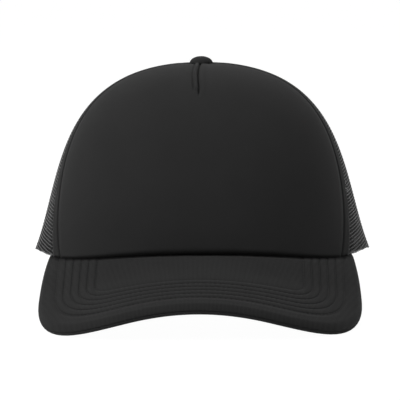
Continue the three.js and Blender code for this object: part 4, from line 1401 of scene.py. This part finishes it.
BAND_GROOVE = 0.4 * MM
BAND_GROOVE_WIDTH = 0.6 * MM
BAND_RIM = 0.8 * MM
BAND_RIM_SHARE = 0.42
BAND_SWELL = 0.55 * MM
BAND_WAVE = 0.12 * MM
BAND_WAVE_LENGTHS = (5.3 * MM, 13.1 * MM, 9 * MM)
HEM_STITCH_LIFT = 3.2 * MM
BAND_COLUMNS = 260
BAND_ROW_POINTS = 400
HEM_ROW_POINTS = 160
# How far short of its ends, in azimuth, a stitch row stops
BAND_ROW_MARGIN = 0.02
HEM_ROW_MARGINS = (0.06, 0.03)


def band_inset(turn):
    """How far inside the crown the sweatband lies, over the foam, the tapes or the strap's tab."""
    turn = np.abs(turn)
    front = 1 - ease(turn, FOAM_END, FOAM_END + BAND_EASE)
    back = ease(turn, TAB_END - BAND_EASE, TAB_END)
    return BAND_SIDE + front * (BAND_FRONT - BAND_SIDE) + back * (BAND_BACK - BAND_SIDE)


def band_place(turn, height, extra):
    """A place on the sweatband, at a height over its lower edge and a depth into it."""
    inset = band_inset(turn) + extra
    edge = crown_point(turn, np.zeros_like(turn), inset)
    foot = hem_level(edge[..., 0], edge[..., 1]) / 2
    return turn, climb_at_height(turn, foot + height, inset), inset


def sweatband():
    """A padded band inside the hem, in waves between its two stitched rows."""
    turn = np.linspace(-BAND_END, BAND_END, BAND_COLUMNS)[:, None]
    turn, height = np.broadcast_arrays(turn, spread(*BAND_ZONES))
    near_rim = 1 - np.minimum(height, BAND_HEIGHT - height) / BAND_RIM
    rim = np.clip(near_rim, 0, 1) ** 2 * BAND * BAND_RIM_SHARE
    grooves = sum(bell(height - row, BAND_GROOVE_WIDTH) for row in (BAND_STITCH_LOW, BAND_STITCH_HIGH))
    along = turn * hem_radius(turn)
    between_rows = (height - BAND_STITCH_LOW) / (BAND_STITCH_HIGH - BAND_STITCH_LOW)
    swell = np.sin(math.pi * np.clip(between_rows, 0, 1))
    short, long, upright = BAND_WAVE_LENGTHS
    wave = np.sin(along / short) * np.sin(along / long + height / upright)
    bulge = (BAND_SWELL + BAND_WAVE * wave) * swell - BAND_GROOVE * grooves
    face = crown_point(*band_place(turn, height, rim))
    back = crown_point(*band_place(turn, height, BAND + bulge - rim))
    cloth = np.stack([along, height], -1)
    # Painted shade in the grooves of the two stitched rows
    mesh = closed_sheet("sweatband_cloth", face, back, cloth, np.clip(grooves, 0, 1))
    piece = dress(new_piece("sweatband_cloth", mesh, BAND_TWILL), "crown", "sweatband", "sweatband")


def band_stitching():
    """The sweatband's two rows, and the row that holds it to the nets' hem."""
    turns = np.linspace(-BAND_END + BAND_ROW_MARGIN, BAND_END - BAND_ROW_MARGIN, BAND_ROW_POINTS)
    rows = []
    for height in (BAND_STITCH_LOW, BAND_STITCH_HIGH):
        place_on_band = band_place(turns, height, BAND - BAND_STITCH_SINK)
        rows.append(crown_row(*place_on_band, inward=True))
    stitching("sweatband_stitching", rows, "crown", "sweatband")
    turns = np.linspace(SEAM_AT_HEM + HEM_ROW_MARGINS[0], BAND_END - HEM_ROW_MARGINS[1], HEM_ROW_POINTS)
    hem_row = crown_row(turns, hem_climb(turns, STITCH_SINK, HEM_STITCH_LIFT), STITCH_SINK)
    stitching("hem_stitching", both_sides([hem_row]), "crown", "net")


sweatband()
band_stitching()


# Peak

PEAK_LAYERS = (PEAK_UNDER, PEAK_BOARD, PEAK_FOAM, PEAK_TOP)
PEAK_THICKNESS = sum(PEAK_LAYERS) + PEAK_LAYER_GAP * (len(PEAK_LAYERS) - 1)
PEAK_HALF_WIDTH = PEAK_END[0] + PEAK_FLARE
PEAK_ROOT_INSET = FRONT_STACK - LAYER_GAP
HALF_PEAK = PEAK_THICKNESS / 2
PEAK_FACE = HALF_PEAK - SEAM_GAP / 2
FRONT_CENTRE = PEAK_FRONT + PEAK_FRONT_RADIUS
ROOT_TURNS = np.linspace(0, PEAK_END_TURN, 160)
ROOT_LINE = np.concatenate([hem_plan(ROOT_TURNS, PEAK_ROOT_INSET), PEAK_END[None]])
ROOT_MARGIN = 0.6 * MM
INNERMOST = PEAK_FRONT_RADIUS - (FRONT_CENTRE - ROOT_LINE[0, 1]) - ROOT_MARGIN
LAST_ROW = FIRST_ROW + (ROW_COUNT - 1) * ROW_PITCH
PEAK_COLUMNS = (16, 18, 36)
EDGE_RINGS = 9
RIM_RINGS = 12
PAD_RINGS = 9
FIELD_RINGS = 30
FIELD_SPREAD = 1.2
LEAST_FRONT = 0.2 * MM
RIM_SWELL_RUNS = (3 * MM, 4 * MM)
FIELD_SWELL_RUN = 1.6 * MM
PEAK_THREAD_LIFT = 0.05 * MM
CORE_EDGE = 0.3 * MM
CORE_ROOT_GAP = 4 * MM
CORE_EDGE_SHARES = (0, 0.2, 0.6, 1)
CORE_RINGS = 40


def side_distance(reach):
    """A ring's distance from the peak's side edge, from its distance from the front edge."""
    within = reach * FIRST_ROW_AT_SIDE / FIRST_ROW
    beyond = FIRST_ROW_AT_SIDE + (reach - FIRST_ROW) * ROW_PITCH_AT_SIDE / ROW_PITCH
    return np.where(reach < FIRST_ROW, within, beyond)


def peak_ring(reach):
    """A line round the peak at one distance from its front edge, from the left end to the right end."""
    from_side = side_distance(reach)
    half_width = PEAK_HALF_WIDTH - from_side
    corner = max(PEAK_CORNER - CORNER_LOSS * reach, INNER_CORNER)
    centre_x = max(PEAK_HALF_WIDTH - reach - corner, LEAST_FRONT)
    centre_y = FRONT_CENTRE - math.sqrt((PEAK_FRONT_RADIUS - reach - corner) ** 2 - centre_x**2)
    bend = math.atan2(centre_y - FRONT_CENTRE, centre_x)
    scale = half_width / (centre_x + corner)
    root = min(float(np.interp(half_width, ROOT_LINE[:, 0], ROOT_LINE[:, 1])), PEAK_END[1])
    share = np.linspace(0, 1, PEAK_COLUMNS[0] + 1)[:-1]
    flare = PEAK_FLARE * max(0.0, 1 - from_side / FIRST_ROW_AT_SIDE) * (1 - np.sin(share * math.pi / 2))
    side = np.stack([(half_width - flare) / scale, mix(root, min(centre_y, root), share)], -1)
    angle = np.linspace(0, bend, PEAK_COLUMNS[1] + 1)[:-1]
    round_part = np.stack([centre_x + corner * np.cos(angle), centre_y + corner * np.sin(angle)], -1)
    angle = np.linspace(bend, -math.pi / 2, PEAK_COLUMNS[2] + 1)
    radius = PEAK_FRONT_RADIUS - reach
    front = np.stack([radius * np.cos(angle), FRONT_CENTRE + radius * np.sin(angle)], -1)
    half = np.concatenate([side, round_part, front]) * np.array([scale, 1])
    return np.concatenate([half, half[-2::-1] * np.array([-1, 1])])


def peak_rings(reaches):
    return np.stack([peak_ring(float(reach)) for reach in reaches], 1)


def peak_middle(x, y):
    """The level half way through the peak."""
    return peak_top(x, y) - SEAM_GAP - HALF_PEAK


def ahead_of_crown(x, y):
    """How far in front of the crown's foot a place lies."""
    return np.hypot(x, y) - hem_radius(np.arctan2(x, -y))


def quilting(reach, puff):
    """The swell between stitched rows, and a mask of the rows themselves, where shade is painted."""
    phase = (reach - FIRST_ROW) / ROW_PITCH
    in_rows = (phase > 0) & (phase < ROW_COUNT - 1)
    rows = np.sqrt(np.abs(np.sin(math.pi * phase))) * in_rows
    start, end = RIM_SWELL_RUNS
    rim = (phase <= 0) * (1 - ease(reach, FIRST_ROW - end, FIRST_ROW)) * ease(reach, 0, start)
    beyond = np.maximum(reach - LAST_ROW, 0)
    field = 1 - np.exp(-beyond / FIELD_SWELL_RUN)
    rise = puff * (PUFF_SHARES["rows"] * rows + PUFF_SHARES["rim"] * rim + PUFF_SHARES["field"] * field)
    nearest = np.clip(np.round(phase), 0, ROW_COUNT - 1)
    return rise, bell((phase - nearest) * ROW_PITCH, ROW_SHADE_WIDTH)


def peak_face(reaches, inset, height, rounding, puff, side):
    """A face of a peak layer over its rings, with its rounded edge, quilting and tuck under the crown, and
    shade painted on rows and tuck.
    """
    plan = peak_rings(reaches)
    x, y = plan[..., 0], plan[..., 1]
    depth = np.clip((reaches - inset) / rounding, 0, 1)
    profile = np.sqrt(1 - (1 - depth) ** 2)
    rise, mask = quilting(reaches, puff)
    tucked = bell(np.maximum(ahead_of_crown(x, y), 0), TUCK_WIDTH)
    tuck = TUCK * tucked * mix(TUCK_AT_ENDS, 1, middling(x)) * (side > 0)
    z = peak_middle(x, y) + side * ((height + rise) * profile + SEAM_GAP / 2) - tuck * profile
    # Painted shade along the stitched rows, deeper towards the sides, and in the tuck under the crown
    shade = mask * (puff > 0) * mix(*ROW_SHADE, ease(np.abs(x), *ROW_SHADE_RUN))
    return np.dstack([x, y, z]), np.clip(shade + tucked, 0, 1)


def peak_reaches():
    """The rings' distances from the front edge: close at the rim and beside the rows, wide in the field."""
    edge = PEAK_EDGE * (1 - np.cos(np.linspace(0, math.pi / 2, EDGE_RINGS)))
    rim = np.linspace(PEAK_EDGE, FIRST_ROW, RIM_RINGS)[1:]
    steps = 0.5 - 0.5 * np.cos(np.linspace(0, math.pi, PAD_RINGS)[1:])
    rows = [FIRST_ROW + ROW_PITCH * (row + steps) for row in range(ROW_COUNT - 1)]
    shares = np.linspace(0, 1, FIELD_RINGS)[1:] ** FIELD_SPREAD
    field = LAST_ROW + (INNERMOST - LAST_ROW) * shares
    return np.concatenate([edge, rim, *rows, field])


def peak_cover(name, side, thickness, puff, finish, slot, node):
    """The cloth on one side of the peak. The two meet half way down its rounded edge."""
    reaches = peak_reaches()
    outer, hollow = peak_face(reaches, 0.0, PEAK_FACE, PEAK_EDGE, puff, side)
    inner_reaches = thickness + reaches * (INNERMOST - thickness) / INNERMOST
    inner, _ = peak_face(inner_reaches, thickness, PEAK_FACE - thickness, PEAK_EDGE - thickness, 0.0, side)
    across = distances(outer.transpose(1, 0, 2)).T
    across = across - across[len(across) // 2]
    cloth = np.stack([across, reaches * np.ones_like(across)], -1)
    upper, lower = (outer, inner) if side > 0 else (inner, outer)
    mesh = closed_sheet(name, upper, lower, cloth, hollow)
    mesh.flip_normals()
    both = np.concatenate([outer.reshape(-1, 3), inner.reshape(-1, 3)])
    ribs = both[:, 0] * mix(1, RIB_FAN, (both[:, 1] - PEAK_FRONT) / PEAK_LENGTH)
    mesh.attributes.new("rib", "FLOAT", "POINT").data.foreach_set("value", ribs.astype(np.float32))
    piece = dress(new_piece(name, mesh, finish), "crown", slot, node)
    rows = [peak_row(FIRST_ROW + row * ROW_PITCH, puff, side) for row in range(ROW_COUNT)]
    stitching(f"{name}_stitching", rows, "crown", slot)


def peak_row(reach, puff, side):
    """A stitch row on the peak, with the cloth's normals along it."""
    face, _ = peak_face(np.array([reach]), 0.0, PEAK_FACE, PEAK_EDGE, puff, side)
    line = face[1:-1, 0] + np.array([0, 0, side * PEAK_THREAD_LIFT])
    up = np.array([0, -PEAK_SLOPE, 1]) * np.ones_like(line)
    up[:, 0] = line[:, 0] / PEAK_ARCH
    return line, side * up / np.linalg.norm(up, axis=1, keepdims=True)


def peak_core(name, low, thickness, full, finish, slot, node):
    """A layer inside the peak, low above the peak's middle. Full is its share of thickness in the tuck."""
    edge = CORE_EDGE * np.array(CORE_EDGE_SHARES)
    field = np.linspace(MM, INNERMOST - CORE_ROOT_GAP - PEAK_CORE_INSET, CORE_RINGS)
    inside = np.concatenate([edge, field])
    plan = peak_rings(PEAK_CORE_INSET + inside)
    x, y = plan[..., 0], plan[..., 1]
    bottom = peak_middle(x, y) + low
    thick = thickness * mix(full, 1, ease(ahead_of_crown(x, y), 0, CORE_ROOT_GAP))
    to_edge = 1 - np.clip(inside / CORE_EDGE, 0, 1)
    rounding = CORE_EDGE * (1 - np.sqrt(1 - to_edge**2))
    face = np.dstack([x, y, bottom + thick - rounding])
    back = np.dstack([x, y, bottom + rounding])
    mesh = closed_sheet(name, face, back, plan)
    mesh.flip_normals()
    return dress(new_piece(name, mesh, finish), "crown", slot, node)


peak_cover("peak_top_cloth", 1, PEAK_TOP, PUFF, PEAK_CLOTH, "face_cloth", "peak_top_cover")
peak_cover("peak_under_cloth", -1, PEAK_UNDER, UNDER_PUFF, UNDER_CLOTH, "under_cloth", "peak_under_cover")
board_level = -HALF_PEAK + PEAK_UNDER + PEAK_LAYER_GAP
padding_level = board_level + PEAK_BOARD + PEAK_LAYER_GAP
padding = peak_core("peak_padding", padding_level, PEAK_FOAM, 0.2, FOAM_LINING, "foam", "peak_foam")
peak_core("peak_plate", board_level, PEAK_BOARD, 1.0, BOARD_PLASTIC, "board", "peak_board")


# Snap straps

LAST_SNAP = (SNAPS_ENGAGED - 1) / 2 * SNAP_PITCH
STRAP_TIP = LAST_SNAP + STRAP_TIP_MARGIN
HINGE_ALONG = OPENING_HALF_WIDTH - BINDING - STRAP_ROOT_MARGIN + STRAP / 2
HINGE_INSET = TAB_INSET + STRAP / 2
RAMP_START = HINGE_ALONG - STRAP
OUTER_RUN = SEAM_GAP / 2
INNER_RUN = OUTER_RUN + STRAP + SEAM_GAP
STRAP_MIDDLE = STRAP_FOOT + STRAP_HEIGHT / 2
TAB_TIP = OPENING_HALF_WIDTH + TAB_LENGTH
SNAPS = -LAST_SNAP + SNAP_PITCH * np.arange(SNAP_COUNT)
STRAP_BEVEL = 0.35 * MM
STRAP_CUT_PITCH = 1.6 * MM
RIM_INSET = 1.1 * MM
RIM_WIDTH = 0.9 * MM
RIM_HEIGHT = 0.25 * MM
RIM_HALF_THICKNESS = 0.3 * MM
RIM_BEVEL = 0.15 * MM
HINGE_BLEND = np.array([3 * MM, -6 * MM])
SHARPEST_SMOOTH_TURN = 24 * DEGREE
COLLAR_SINK = 0.3 * MM
COLLAR_ROUND = 0.15 * MM
COLLAR_SHOULDER = 0.25 * MM
COLLAR_TOP_INSET = 0.5 * MM
STUD_SINK = 0.4 * MM
STUD_FLARE = 0.3 * MM
STUD_HEAD_ROUND = 0.1 * MM
STUD_RIM = STUD_HEAD * 0.93
TIP_POINTS = 9
HOLE_SIDES = 28
COLLAR_SIDES = 32
STUD_SIDES = 24
STUD_HEAD_POINTS = 8


def run_inset(along, run):
    """How far inside the crown a strap runs: level along its run, then ramping in to its tab."""
    return mix(run, HINGE_INSET, ease(along, RAMP_START - STRAP_RAMP, RAMP_START))


def strap_outline(inset):
    """A strap's outline: round corners at its tip, square at its sewn end."""
    radius = STRAP_TIP_RADIUS - inset
    half = STRAP_HEIGHT / 2 - inset
    tip = -STRAP_TIP + inset
    root = TAB_TIP - inset
    angles = np.linspace(0, math.pi / 2, TIP_POINTS)
    upper = [(tip + radius * (1 - math.cos(a)), half - radius * (1 - math.sin(a))) for a in angles]
    return upper + [(root, half), (root, -half)] + [(x, -y) for x, y in upper[::-1]]


def hole_outline(along):
    angles = 2 * math.pi * np.arange(HOLE_SIDES) / HOLE_SIDES
    return [(along + SNAP_HOLE * math.cos(a), SNAP_HOLE * math.sin(a)) for a in angles]


def moulded_plate(name, outlines, half_thickness, bevel):
    """A flat plate between outlines, with rounded edges, cut across many times so that it can bend."""
    curve = bpy.data.curves.new(name, "CURVE")
    curve.dimensions = "2D"
    curve.fill_mode = "BOTH"
    curve.extrude = half_thickness - bevel
    curve.bevel_depth = bevel
    curve.bevel_resolution = 2
    curve.offset = -bevel
    for outline in outlines:
        spline = curve.splines.new("POLY")
        spline.points.add(len(outline) - 1)
        for point, (x, y) in zip(spline.points, outline):
            point.co = (x, y, 0, 1)
        spline.use_cyclic_u = True
    holder = bpy.data.objects.new(name, curve)
    bpy.context.scene.collection.objects.link(holder)
    seen = holder.evaluated_get(bpy.context.evaluated_depsgraph_get())
    mesh = bpy.data.meshes.new_from_object(seen)
    bpy.data.objects.remove(holder)
    body = bmesh.new()
    body.from_mesh(mesh)
    bmesh.ops.remove_doubles(body, verts=body.verts, dist=1e-6)
    for across in np.arange(-STRAP_TIP, TAB_TIP, STRAP_CUT_PITCH):
        parts = body.verts[:] + body.edges[:] + body.faces[:]
        bmesh.ops.bisect_plane(body, geom=parts, dist=1e-7, plane_co=(across, 0, 0), plane_no=(1, 0, 0))
    body.to_mesh(mesh)
    body.free()
    return mesh


def join_meshes(meshes):
    """Several meshes as one, each still closed."""
    body = bmesh.new()
    for mesh in meshes:
        body.from_mesh(mesh)
    joined = bpy.data.meshes.new(meshes[0].name)
    body.to_mesh(joined)
    body.free()
    return joined


def bend_to_crown(mesh, side, run, lift=0.0):
    """Wraps a flat plate round the back: X runs along the strap, Y up and Z outwards."""
    flat = np.zeros(len(mesh.vertices) * 3)
    mesh.vertices.foreach_get("co", flat)
    flat = flat.reshape(-1, 3)
    turn = math.pi - side * flat[:, 0] / HEM_BACK_DEPTH
    inset = run_inset(flat[:, 0], run)
    climb = climb_at_height(turn, STRAP_MIDDLE + flat[:, 1], inset)
    bent = crown_point(turn, climb, inset - flat[:, 2] - lift)
    mesh.vertices.foreach_set("co", bent.ravel())
    if side > 0:
        mesh.flip_normals()
    return mesh


def on_strap(name, unit, side, run, lift):
    """Copies of a small turned piece, one at each snap."""
    inset = run_inset(SNAPS, run)
    turn = math.pi - side * SNAPS / HEM_BACK_DEPTH
    climb = climb_at_height(turn, STRAP_MIDDLE, inset)
    places = bpy.data.meshes.new(name)
    places.from_pydata(crown_point(turn, climb, inset - lift).tolist(), [], [])
    attribute = places.attributes.new("up", "FLOAT_VECTOR", "POINT")
    attribute.data.foreach_set("vector", crown_normal(turn, climb).astype(np.float32).ravel())
    holder = new_piece(name, places, STRAP_PLASTIC)
    source = new_piece(f"{name}_one", unit, STRAP_PLASTIC)
    grow(holder, REPEATS, unit=source, finish=STRAP_PLASTIC)
    mesh = holder.data
    bpy.data.objects.remove(holder)
    bpy.data.objects.remove(source)
    return mesh


def collar_unit():
    """The raised collar round a hole."""
    inner = SNAP_HOLE
    outer = SNAP_HOLE + COLLAR_WIDTH
    shoulder = (outer - COLLAR_ROUND, COLLAR_SHOULDER)
    ring = [(inner, -COLLAR_SINK), (outer, -COLLAR_SINK), (outer, 0), shoulder]
    ring += [(outer - COLLAR_TOP_INSET, COLLAR_HEIGHT), (inner + COLLAR_SHOULDER, COLLAR_HEIGHT)]
    ring += [(inner, COLLAR_HEIGHT - COLLAR_ROUND), (inner, -COLLAR_SINK)]
    return turned("collar", ring, COLLAR_SIDES)


def stud_unit():
    """A stud: a flared foot, a neck and a round head."""
    height = SEAM_GAP + STRAP + STUD_STAND_OUT
    waist = height - STUD_HEAD
    foot = STUD_NECK + STUD_SINK
    low = [(0, -STUD_SINK), (foot, -STUD_SINK), (STUD_NECK + STUD_FLARE, 0), (STUD_NECK, STUD_FLARE)]
    low += [(STUD_NECK, waist - SEAM_GAP), (STUD_RIM, waist - STUD_HEAD_ROUND), (STUD_HEAD, waist)]
    turns = np.linspace(0, math.pi / 2, STUD_HEAD_POINTS)[1:-1]
    head = [(STUD_HEAD * math.cos(a), waist + STUD_HEAD * math.sin(a)) for a in turns]
    return turned("stud", low + head + [(0, height)], STUD_SIDES)


def strap(name, side, run, holes, nodes):
    """A strap with its sewn tab, whose shape ramps in near the tab."""
    outlines = [strap_outline(0)]
    if holes:
        outlines += [hole_outline(along) for along in SNAPS]
    plate = bend_to_crown(moulded_plate(name, outlines, STRAP / 2, STRAP_BEVEL), side, run)
    rim_outlines = [strap_outline(RIM_INSET), strap_outline(RIM_INSET + RIM_WIDTH)]
    rim = moulded_plate(f"{name}_rim", rim_outlines, RIM_HALF_THICKNESS, RIM_BEVEL)
    rim = bend_to_crown(rim, side, run, STRAP / 2 - RIM_HALF_THICKNESS + RIM_HEIGHT)
    unit = collar_unit() if holes else stud_unit()
    snaps = on_strap(f"{name}_snaps", unit, side, run, STRAP / 2)
    mesh = join_meshes([plate, rim, snaps])
    mesh.name = name
    mesh.shade_smooth()
    mesh.set_sharp_from_angle(angle=SHARPEST_SMOOTH_TURN)
    piece = new_piece(name, mesh, STRAP_PLASTIC)
    turn = math.pi - side * (HINGE_ALONG + HINGE_BLEND) / HEM_BACK_DEPTH
    start, end = crown_point(turn, climb_at_height(turn, STRAP_MIDDLE, HINGE_INSET), HINGE_INSET)
    tuple(start)
    tuple(end)
    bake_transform(piece)
    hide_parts(*nodes)


strap("hole_strap_moulding", 1, OUTER_RUN, True, ("hole_strap", "hole_strap_tab"))
strap("stud_strap_moulding", -1, INNER_RUN, False, ("stud_strap", "stud_strap_tab"))


# Button

RIM_LEVEL = SEAM_GAP + 0.7 * MM
COVER_LEVEL = SEAM_GAP + 0.25 * MM
LIP_WIDTH = 1.2 * MM
LIP_ROUND = 0.2 * MM
CREST_INSET = 0.3 * MM
SKIRT = (0.45 * MM, 0.08 * MM)
GATHER_SHARE = 0.02
GATHER_HEIGHT = 1.6 * MM
CLINCH_SHARE = 0.8
GATHER_COUNT = 14
GATHER_WANDER = 3
DOME_POINTS = 14
COVER_SIDES = 96
METAL_SIDES = 48
BUTTON_SEAT = Matrix.Translation((0, 0, CROWN_HEIGHT - BUTTON_SINK)) @ Matrix.Rotation(BUTTON_TILT, 4, "X")


def dome(radius, low, high):
    """A quarter round, from its rim up to the axis."""
    turns = np.linspace(0, math.pi / 2, DOME_POINTS)
    return [(radius * math.cos(a), low + (high - low) * math.sin(a)) for a in turns]


def gathers(height, angle):
    """Cloth gathered under the button's rim."""
    pleats = np.sin(GATHER_COUNT * angle + np.sin(GATHER_WANDER * angle))
    return GATHER_SHARE * pleats * bell(height - SEAM_GAP, GATHER_HEIGHT)


def seated(name, profile, sides, finish, slot, node, pleat=None):
    """A turned piece of the button, on its seat under the crown's top."""
    mesh = turned(name, profile, sides, pleat)
    mesh.transform(BUTTON_SEAT)
    dress(new_piece(name, mesh, finish), "crown", slot, node)


def button_cover(inner):
    """The cloth over the button, tucked in round its lip."""
    lip = inner - LIP_WIDTH
    outside = dome(BUTTON_RADIUS, COVER_LEVEL, BUTTON_HEIGHT)
    inside = dome(inner, RIM_LEVEL, BUTTON_HEIGHT - BUTTON_SKIN)[::-1]
    under = [(lip + BUTTON_SKIN, SEAM_GAP + BUTTON_SKIN), (lip, SEAM_GAP + LIP_ROUND)]
    under += [(lip + LIP_ROUND, SEAM_GAP), (inner - CREST_INSET, SEAM_GAP)]
    under.append((inner + SKIRT[0], SEAM_GAP + SKIRT[1]))
    profile = [(0, inside[0][1])] + inside[1:] + under + outside[:-1] + [(0, outside[-1][1])]
    seated("button_cloth", profile, COVER_SIDES, FACE_CLOTH, "face_cloth", "button_cover", gathers)


def button_rivet(inner, under):
    """The metal cap and its shank, clinched under the washer."""
    radius = inner - SEAM_GAP
    top = BUTTON_HEIGHT - BUTTON_SKIN - SEAM_GAP
    inside = dome(radius - BUTTON_METAL, RIM_LEVEL, top - BUTTON_METAL)[::-1]
    shell = [point for point in inside if point[0] > SHANK]
    rivet = [(0, under - WASHER), (CLINCH * CLINCH_SHARE, under - WASHER), (CLINCH, under - WASHER / 2)]
    rivet += [(CLINCH, under - SEAM_GAP), (SHANK, under - SEAM_GAP), (SHANK, top - 2 * BUTTON_METAL)]
    profile = rivet + shell + dome(radius, RIM_LEVEL, top)[:-1] + [(0, top)]
    seated("button_rivet", profile, METAL_SIDES, STEEL, "steel", "button_cap")


def button_washer(top):
    """The flat ring inside the crown that the rivet is clinched over."""
    bore = SHANK + SEAM_GAP
    low = top - WASHER
    ring = [(bore, low), (WASHER_RADIUS - LIP_ROUND, low), (WASHER_RADIUS, low + LIP_ROUND)]
    ring += [(WASHER_RADIUS, top), (bore, top), (bore, low)]
    seated("button_plate", ring, METAL_SIDES, STEEL, "steel", "button_washer")


WASHER_TOP = -(NET + LAYER_GAP)
button_cover(BUTTON_RADIUS - BUTTON_SKIN)
button_rivet(BUTTON_RADIUS - BUTTON_SKIN, WASHER_TOP - WASHER - SEAM_GAP)
button_washer(WASHER_TOP)


# Setting: floor, light and camera

FLOOR_GAP = 0.5 * MM
FLOOR_LEVEL = cad_low[2] - FLOOR_GAP
FLOOR_REACH = 40
FLOOR_GLOW = 0.98
FLOOR_VEIL = 0.16
ROOM_LIGHT = 0.13
CAMERA_DISTANCE = 1.601
CAMERA_ELEVATION = 5.38 * DEGREE
CAMERA_AZIMUTH = 1.0 * DEGREE
CAMERA_ROLL = -0.4 * DEGREE
CAMERA_AIM = Vector((-1.2 * MM, 0, 28.2 * MM))
CAMERA_LENS = 250.65
LIGHT_AIM = Vector((0, 0, 0.04))
# Each light's place, size and power
LIGHTS = {
    "key": ((-1.9, -1.4, 1.45), 1.3, 26),
    "top": ((-0.25, -0.5, 1.9), 1.4, 13),
    "fill": ((1.7, -1.4, 0.5), 1.6, 0.6),
}


def background_rays(tree):
    """1 where the camera, a gloss or a clear piece sees the background, and 0 for light on the object."""
    path = place(tree, "ShaderNodeLightPath")
    direct = calculate(tree, "MAXIMUM", path.outputs["Is Camera Ray"], path.outputs["Is Glossy Ray"])
    return calculate(tree, "MAXIMUM", direct, path.outputs["Is Transmission Ray"])


def floor_finish():
    """A white floor that keeps a soft shadow."""
    material, tree = new_material("floor white")
    matt = place(tree, "ShaderNodeBsdfDiffuse", {"Color": grey(235)})
    glow = place(tree, "ShaderNodeEmission", {"Color": (1, 1, 1, 1), "Strength": FLOOR_GLOW})
    veil = place(tree, "ShaderNodeBsdfDiffuse", {"Color": (FLOOR_VEIL,) * 3 + (1,)})
    shown = place(tree, "ShaderNodeAddShader", {0: glow.outputs[0], 1: veil.outputs[0]})
    seen = background_rays(tree)
    both = place(tree, "ShaderNodeMixShader", {0: seen, 1: matt.outputs[0], 2: shown.outputs[0]})
    close_material(tree, both.outputs[0])
    return material


def make_floor():
    mesh = bpy.data.meshes.new("floor")
    corners = [(-1, -1), (1, -1), (1, 1), (-1, 1)]
    points = [(x * FLOOR_REACH, y * FLOOR_REACH, FLOOR_LEVEL) for x, y in corners]
    mesh.from_pydata(points, [], [(0, 1, 2, 3)])
    new_piece("floor", mesh, floor_finish())


def make_world():
    """Soft light from all sides, and white behind the object."""
    world = bpy.data.worlds.new("studio")
    world.use_nodes = True
    tree = world.node_tree
    tree.nodes.clear()
    soft = place(tree, "ShaderNodeBackground", {"Color": grey(255), "Strength": ROOM_LIGHT})
    white = place(tree, "ShaderNodeBackground", {"Color": grey(255), "Strength": 1.0})
    seen = background_rays(tree)
    both = place(tree, "ShaderNodeMixShader", {0: seen, 1: soft.outputs[0], 2: white.outputs[0]})
    output = tree.nodes.new("ShaderNodeOutputWorld")
    tree.links.new(both.outputs[0], output.inputs["Surface"])
    bpy.context.scene.world = world


def make_light(name, position, size, power):
    light = bpy.data.lights.new(name, "AREA")
    light.shape = "SQUARE"
    light.size = size
    light.energy = power
    holder = bpy.data.objects.new(name, light)
    holder.location = position
    holder.rotation_euler = (LIGHT_AIM - holder.location).to_track_quat("-Z", "Y").to_euler()
    bpy.context.scene.collection.objects.link(holder)


def make_camera():
    data = bpy.data.cameras.new("camera")
    data.lens = CAMERA_LENS
    data.sensor_width = 36
    data.clip_end = 20
    holder = bpy.data.objects.new("camera", data)
    level = math.cos(CAMERA_ELEVATION)
    direction = Vector(
        (math.sin(CAMERA_AZIMUTH) * level, -math.cos(CAMERA_AZIMUTH) * level, math.sin(CAMERA_ELEVATION))
    )
    location = CAMERA_AIM + CAMERA_DISTANCE * direction
    turn = (-direction).to_track_quat("-Z", "Y").to_matrix().to_4x4()
    holder.matrix_world = Matrix.Translation(location) @ turn @ Matrix.Rotation(CAMERA_ROLL, 4, "Z")
    bpy.context.scene.collection.objects.link(holder)
    bpy.context.scene.camera = holder


make_floor()
make_world()
for name, settings in LIGHTS.items():
    make_light(name, *settings)
make_camera()
bpy.context.scene.view_settings.view_transform = "Standard"
